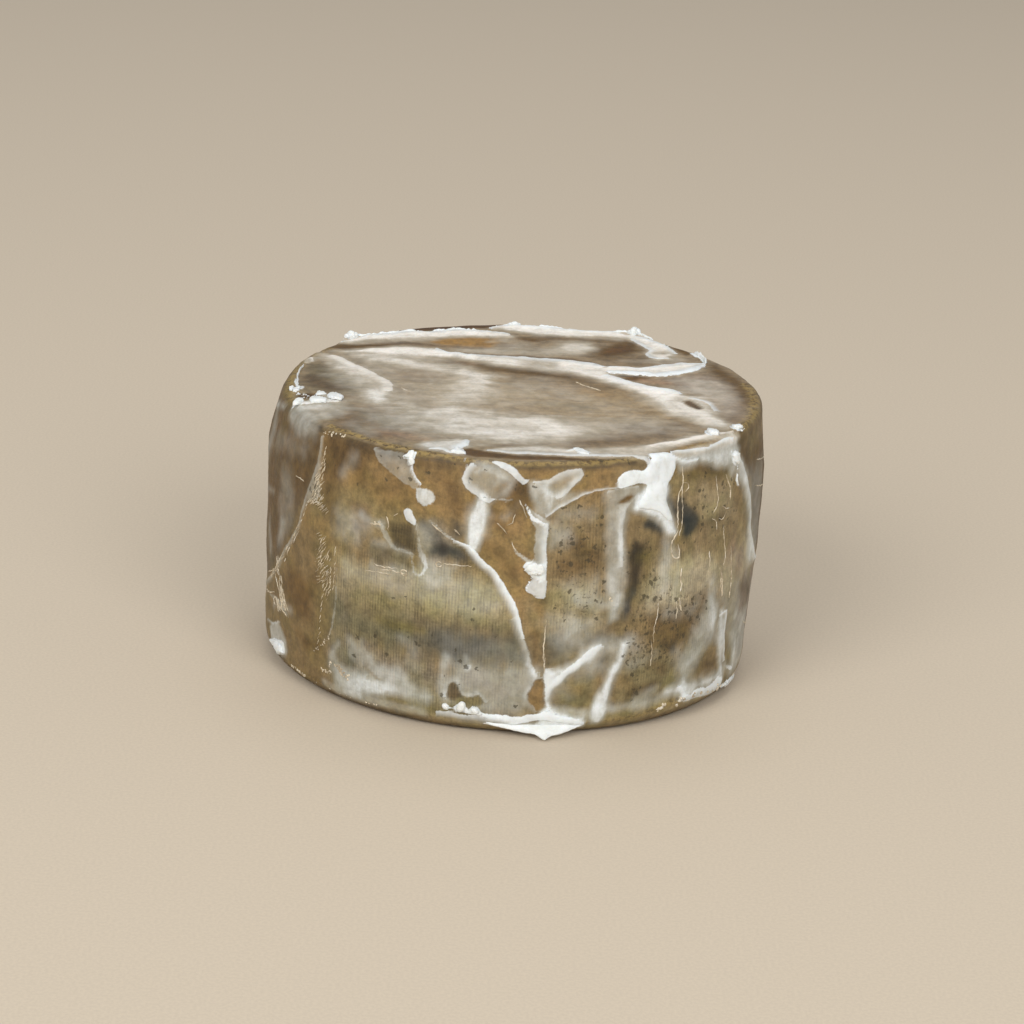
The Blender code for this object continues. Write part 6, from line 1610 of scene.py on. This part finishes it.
# Raised lines down the side: height, path
LINES = shapes("side", """
0.22 -30,56.6,0.2 -27,57.4,0.25 -23,57,0.2
0.22 -34,55,0.15 -31,55.6,0.2 -27,55.8,0.15
0.22 -32,58.4,0.15 -29,58,0.2 -25.6,58.8,0.15
0.26 -14.8,63.2,0.2 -12,63.2,0.25 -8.4,63.4,0.2
0.24 -18,77,0.2 -16.4,75.4,0.25 -14.8,73.8,0.2
0.3 -12.9,76,0.3 -12,75.2,0.4 -11.4,74.4,0.3
0.26 -3.4,79.8,0.2 -1.8,77.8,0.25 -1,75.8,0.2
0.24 -1.2,79.2,0.15 0,80.2,0.2 0.6,83.4,0.15
0.24 0.2,73.4,0.15 0.7,71.2,0.25 1.8,69.6,0.2
0.24 3.2,82,0.15 2.2,86,0.25 1.2,88.2,0.15
0.26 8.9,45,0.15 8.7,38,0.25 8.8,32,0.3 9.2,25,0.35
0.22 9.2,31,0.12 9.1,26,0.2
0.28 -29.4,76.6,0.25 -28.6,74,0.3 -28.8,71.6,0.2
0.24 -33,72.4,0.3 -31.6,73.2,0.35 -30.4,73,0.25
0.24 -27.6,77.4,0.2 -26.4,78.4,0.25
0.26 40.4,96,0.15 40.5,93,0.2 40.8,90,0.2 39.9,86.8,0.25 39.4,83.8,0.2 39.5,79,0.25 39.7,73.4,0.2
0.28 39.7,73.4,0.2 38.3,69.8,0.3 38.1,67.2,0.25 38.9,63.6,0.3 40.4,63,0.25 40.4,65.6,0.2 39.9,68,0.2
0.24 40.1,71,0.2 40.8,75,0.15 40.9,81,0.15 40.6,85,0.12 40.8,90,0.15
0.22 40.8,90.2,0.15 42.2,89.4,0.2 42.6,87.6,0.2 41.6,86.6,0.12
0.3 41.6,59,0.25 41.2,56,0.35 41.8,53,0.4 41.4,50,0.3
0.26 41.4,48,0.25 41.9,45,0.35 42.3,42.6,0.3
0.2 40.6,47,0.12 41,43,0.2 40.8,40,0.12
0.2 35.2,50,0.12 35.4,44,0.2 34.8,38,0.2 35,33,0.12
0.2 34.4,34,0.12 34.9,29,0.18 34.8,24,0.12
0.24 50.4,62,0.2 50.8,59,0.3 51,56,0.2
0.22 51.8,89,0.15 52.4,84,0.2 52.6,79,0.25 51,75.6,0.15
0.22 50.6,74,0.2 52.2,72,0.25 52.4,69,0.15
0.24 55.8,88,0.2 56.8,85,0.25 57.8,82,0.3 57.8,78,0.35
0.2 54.4,77,0.2 56,75.6,0.25 57.8,75,0.2
0.2 53.2,73,0.15 54.8,72.2,0.2 55.8,74,0.15
0.36 55.9,52,0.3 56.4,49,0.55 56.9,45,0.5 57,42,0.35
0.24 55.2,54,0.15 56,50,0.25 55.8,45,0.2
0.26 60.2,52,0.2 60.8,48,0.3 60.8,44,0.35 60.6,40,0.25
0.2 55.2,70,0.12 56,64,0.2 57,58,0.2 56.6,54,0.12
0.2 59.4,60,0.12 60,56,0.2 60.2,52,0.12
0.24 -66,24,0.3 -69,26.4,0.35 -72,25.6,0.2
0.24 -61,26,0.2 -64,27.6,0.3 -67,26.8,0.2
0.28 -62,23.4,0.25 -65,24.4,0.3 -68,24.2,0.2
0.28 -79,31.6,0.2 -74,34.6,0.3 -70,38,0.2
0.24 -64.4,47,0.15 -67.4,41,0.3 -71.4,36,0.25 -76,31,0.15
0.22 -70,36,0.2 -67,30,0.3 -64.6,24,0.2
0.26 -83,22,0.2 -77,24.4,0.3 -71,28,0.2
0.22 -60,79,0.12 -57.4,79.2,0.18 -56,78.8,0.12
0.26 -48.2,100,0.3 -47.7,98.8,0.3
0.22 73,86,0.15 78,84,0.25 84,82,0.2
0.22 72,77,0.15 78,74,0.25 86,71,0.2
0.22 74,24,0.2 80,20,0.3 88,16,0.2
""")

# Scratches on the top: height, path
SCRATCHES = shapes("top", """
0.25 -43.5,-4.6,0.3 -41.6,-7.2,0.5 -39.4,-9.6,0.4
0.25 20.5,10.4,0.2 23,7,0.3 26,4,0.3
0.25 26,4,0.25 28,2,0.4 29.6,0.4,0.35
""")

# Crisp plates of lard: thickness, lift, outline
PLATES = shapes("top", """
0.5 0.5 -80.3,-31 -79.9,-27 -79.4,-25.8 -78.4,-24.2 -77.2,-25.6 -77,-28.6 -78.4,-30.2
0.5 0.5 -74.6,-27 -74.9,-24 -73.4,-21.6 -72.2,-21.9 -70.8,-23 -69,-24.4 -68.8,-27.2 -71,-28 -73.6,-28.4
0.4 0.7 -69,-21 -67.7,-18 -66.2,-16.4 -64.4,-18.4 -63,-21 -63.8,-24.4 -65.6,-24 -67,-25
0.4 0.2 -73.4,-17.4 -72.8,-13.8 -71,-14 -69.4,-16.8 -71,-18
0.4 0.2 -82.8,-8 -83.6,-10.4 -82.4,-12.4 -80.9,-9 -79.6,-9.6 -79.6,-12.6 -81.6,-13.6
0.5 0.4 66.8,-43.6 68,-44 69.2,-43 71,-45 70.4,-46 70.6,-48.4 68.4,-49 67.2,-48 66.4,-46.8
0.5 0.3 75.6,-36.4 77.2,-37.6 78.8,-35.6 79.4,-38.4 77.6,-40.4 76,-39
0.3 0.3 -18,-75 -17,-79.2 -19.4,-79.6 -22.4,-78.4 -21,-75.4
0.3 0.2 19.4,-71 21.4,-70.2 24.6,-73.4 25,-76 22.4,-75.6 20.6,-73.6
""") + shapes("side", """
0.4 0.3 -26.3,99.3 -25.4,99.6 -25,101.2 -23.6,101 -23.5,99.4 -23.2,97.4 -24,96.6 -24.6,98.6
0.4 0.4 3.2,63.6 4.1,65.5 5.4,66.1 7.2,65.6 7.8,63 7,61.6 5.6,62 4.6,61.8
0.4 0.3 57.9,94.4 59.2,95 60.3,94 60.5,91 59.6,90.2 58.3,91.4
0.4 0.4 -74,7.6 -72,8.6 -68.6,9.8 -65,10.4 -63.4,8.4 -66.3,6.1 -68.1,7.1 -71,7
0.4 0.2 61.8,5 65,5.5 69,5.1 72.4,4.2 70,3 66,2.8
0.3 0.2 -6.6,10.8 -5.6,10.4 -4.3,8.4 -5,7.6 -6.6,8.4 -7.2,9.4
""")

# Curls and thin standing edges of lard: height, path
CURLS = shapes("top", """
1.3 66.2,53.4,0.6 67.6,50.6,0.9 69,47.4,0.7 70,43.6,0.5 69.9,39.4,0.3
0.8 -80.9,20,0.2 -81.6,13,0.3 -82,7,0.3 -81.4,0,0.3 -80.6,-7,0.2
0.4 33.4,22,0.4 38,22.8,0.5 42,22.4,0.4 46,23,0.6 51,21.7,0.4 56,23.8,0.5 59.6,24.8,0.4
0.5 -66,61.6,0.6 -60,61.8,0.4 -55,63.8,0.6 -50,66.2,0.5 -45,68.6,0.6 -40,69.2,0.4
0.5 -35,70.8,0.4 -30,73.2,0.5 -27,75,0.6 -22,74.8,0.5 -17,74,0.4
0.5 -9,82,0.5 -3,83.4,0.6 2,83.4,0.5 8,82.6,0.5 16,81,0.4
0.5 35,78,0.4 40,78.2,0.5 44,77,0.7 47,74,0.5 51,69.4,0.4
""") + shapes("side", """
0.3 60.4,86.6,0.3 60.6,84,0.4 61.2,81.6,0.2
""")

# Crumbs of lard: how many, size, path
LARD_CRUMBS = shapes("top", """
22 0.28 -80,-14,1 -78,-18,1.6 -76,-20,1.6 -72,-18,1.4
10 0.22 -69,52,0.8 -66,61,0.8 -55,64,0.8 -45,69,0.8
12 0.22 -30,74,0.8 -10,80,1.2 0,84,0.8 20,80,0.8
8 0.22 42,78,0.8 52,68,0.8 60,54,0.8
8 0.28 75,-36,1.2 78,-38,1 79,-41,1
""") + shapes("side", """
10 0.25 9,10.6,0.5 11,11,0.6 12.4,9.6,0.4
8 0.25 4,63,0.4 5,61,0.6 4,56,0.3
8 0.25 58,95,0.6 60.4,92,0.6 60.6,88,0.4
""")

# Small rings: angle, height, radius
RINGS = ((-24, 57.6, 1.0), (-15.8, 62.8, 0.9))


def lay_out(make, rows):
    """Makes a bit from each row: its surface and places, then its sizes."""
    for surface, *sizes, text in rows:
        make(surface, text, *sizes)


def make_threads(canvas):
    bits = Bits(canvas, 5)
    lay_out(bits.stitches, FRINGE)
    lay_out(bits.crumbs, CREAM_CRUMBS)
    lay_out(bits.ribbon, LINES)
    for middle_u, middle_v, radius in RINGS:
        turns = np.linspace(0, 2 * math.pi, 9)
        ring = np.stack([middle_u + radius * 1.2 * np.cos(turns) / PER_DEGREE,
                         middle_v + radius * np.sin(turns), np.full(9, 0.28)], 1)
        bits.ribbon("side", ring, 0.3, 0.03, 0.5)
    lay_out(bits.ribbon, SCRATCHES)
    return bits.make("threads", thread_material())


def make_flap(bits):
    """The sheet of lard that slants out from under the base to a thin, pointed lip."""
    stops = np.array(FLAP_STOPS, float) * (PER_DEGREE, 1, 1)
    path = curve(stops, 0.8)
    rows = []
    for place, reach, lip in path:
        a = math.radians(place / PER_DEGREE)
        out = np.array((math.sin(a), -math.cos(a), 0))
        ragged = bits.random.normal(0, 0.10)
        root, root_low, root_high = FLAP_ROOT
        wave = 0.12 * math.sin(place * 0.9) + bits.random.normal(0, 0.05)
        middle = 0.5 * (FLAP_SHOULDER[0] + reach), 0.5 * (FLAP_SHOULDER[1] + lip + 0.5)
        for radius, z in ((root, root_low), (root, root_high), FLAP_SHOULDER,
                          (middle[0], middle[1] + wave), (reach + ragged, lip + 0.55),
                          (reach + ragged - 0.1, lip + 0.15), (middle[0] - 0.4, middle[1] - 0.8)):
            rows.append(out * min(radius, FLAP_LIMIT) + (0, 0, max(z, 0.05)))
    ring = 7
    count = len(path)
    faces = ring_faces(count, ring, turned=True)
    faces.append(tuple(range(ring)))
    faces.append(tuple(reversed(range(ring * (count - 1), ring * count))))
    bits.add(np.array(rows), faces)


def make_lard(canvas):
    bits = Bits(canvas, 8)
    make_flap(bits)
    lay_out(bits.flake, PLATES)
    lay_out(bits.ribbon, CURLS)
    for x, y, radius, tall in SPIKES:
        for dx, dy, wide, share, extra in SPIKE_LUMPS:
            bits.lump("top", x + dx, y + dy, radius * wide, tall * share + extra)
    for angle, height, size in LOBES:
        bits.lump("side", angle, height, size, 1.0)
    lay_out(bits.crumbs, LARD_CRUMBS)
    return bits.make("lard", lard_material())


# Floor, light and camera

def make_floor():
    mesh = bpy.data.meshes.new("floor")
    a = FLOOR_HALF
    mesh.from_pydata([(-a, -a, 0), (a, -a, 0), (a, a, 0), (-a, a, 0)], [], [(0, 1, 2, 3)])
    n = Nodes("pale_floor")
    grain = n.noise(n.place(900), 1.0, 3.0)
    colour = n.mix(n.ramp(grain, 0.3, 0.7), FLOOR_DARK, FLOOR_PALE)
    mesh.materials.append(n.finish({"Base Color": colour, "Roughness": 0.75}))
    floor = put_in_scene("floor", mesh)


def make_light():
    world = bpy.data.worlds.new("soft")
    world.use_nodes = True
    background = world.node_tree.nodes["Background"]
    background.inputs[0].default_value = (1.0, 1.0, 1.0, 1)
    background.inputs[1].default_value = SKY
    bpy.context.scene.world = world
    for name, (at, power) in LAMPS.items():
        light = bpy.data.lights.new(name, "AREA")
        light.shape = "DISK"
        light.size = LAMP_WIDTH
        light.energy = power
        lamp = put_in_scene(name, light)
        lamp.location = at
        lamp.rotation_euler = (Vector(LAMP_AIM) - Vector(at)).to_track_quat("-Z", "Y").to_euler()


def make_camera():
    pitch = math.radians(PITCH)
    forward = Vector((0, math.cos(pitch), -math.sin(pitch)))
    right = Vector((1, 0, 0))
    up = right.cross(forward)
    at = Vector((0, 0, AIM_HEIGHT)) + Vector(AXIS_AT) - forward * DISTANCE
    at += right * NUDGE[0] + up * NUDGE[1]
    camera = bpy.data.cameras.new("camera")
    camera.lens = LENS
    camera.sensor_width = SENSOR
    camera.sensor_fit = "HORIZONTAL"
    camera.clip_end = 50
    obj = put_in_scene("camera", camera)
    turn_by = Matrix((right, up, -forward)).transposed().to_4x4()
    obj.matrix_world = (Matrix.Translation(at * MM) @ turn_by
                        @ Matrix.Rotation(math.radians(ROLL), 4, "Z"))
    bpy.context.scene.camera = obj


bpy.context.scene.view_settings.view_transform = "Standard"
make_camera()
make_floor()
make_light()
rind, canvas = make_rind()
pieces = [rind, make_threads(canvas), make_lard(canvas)]
for piece in pieces:
    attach(piece, "root")
    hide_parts("cheese_wheel")
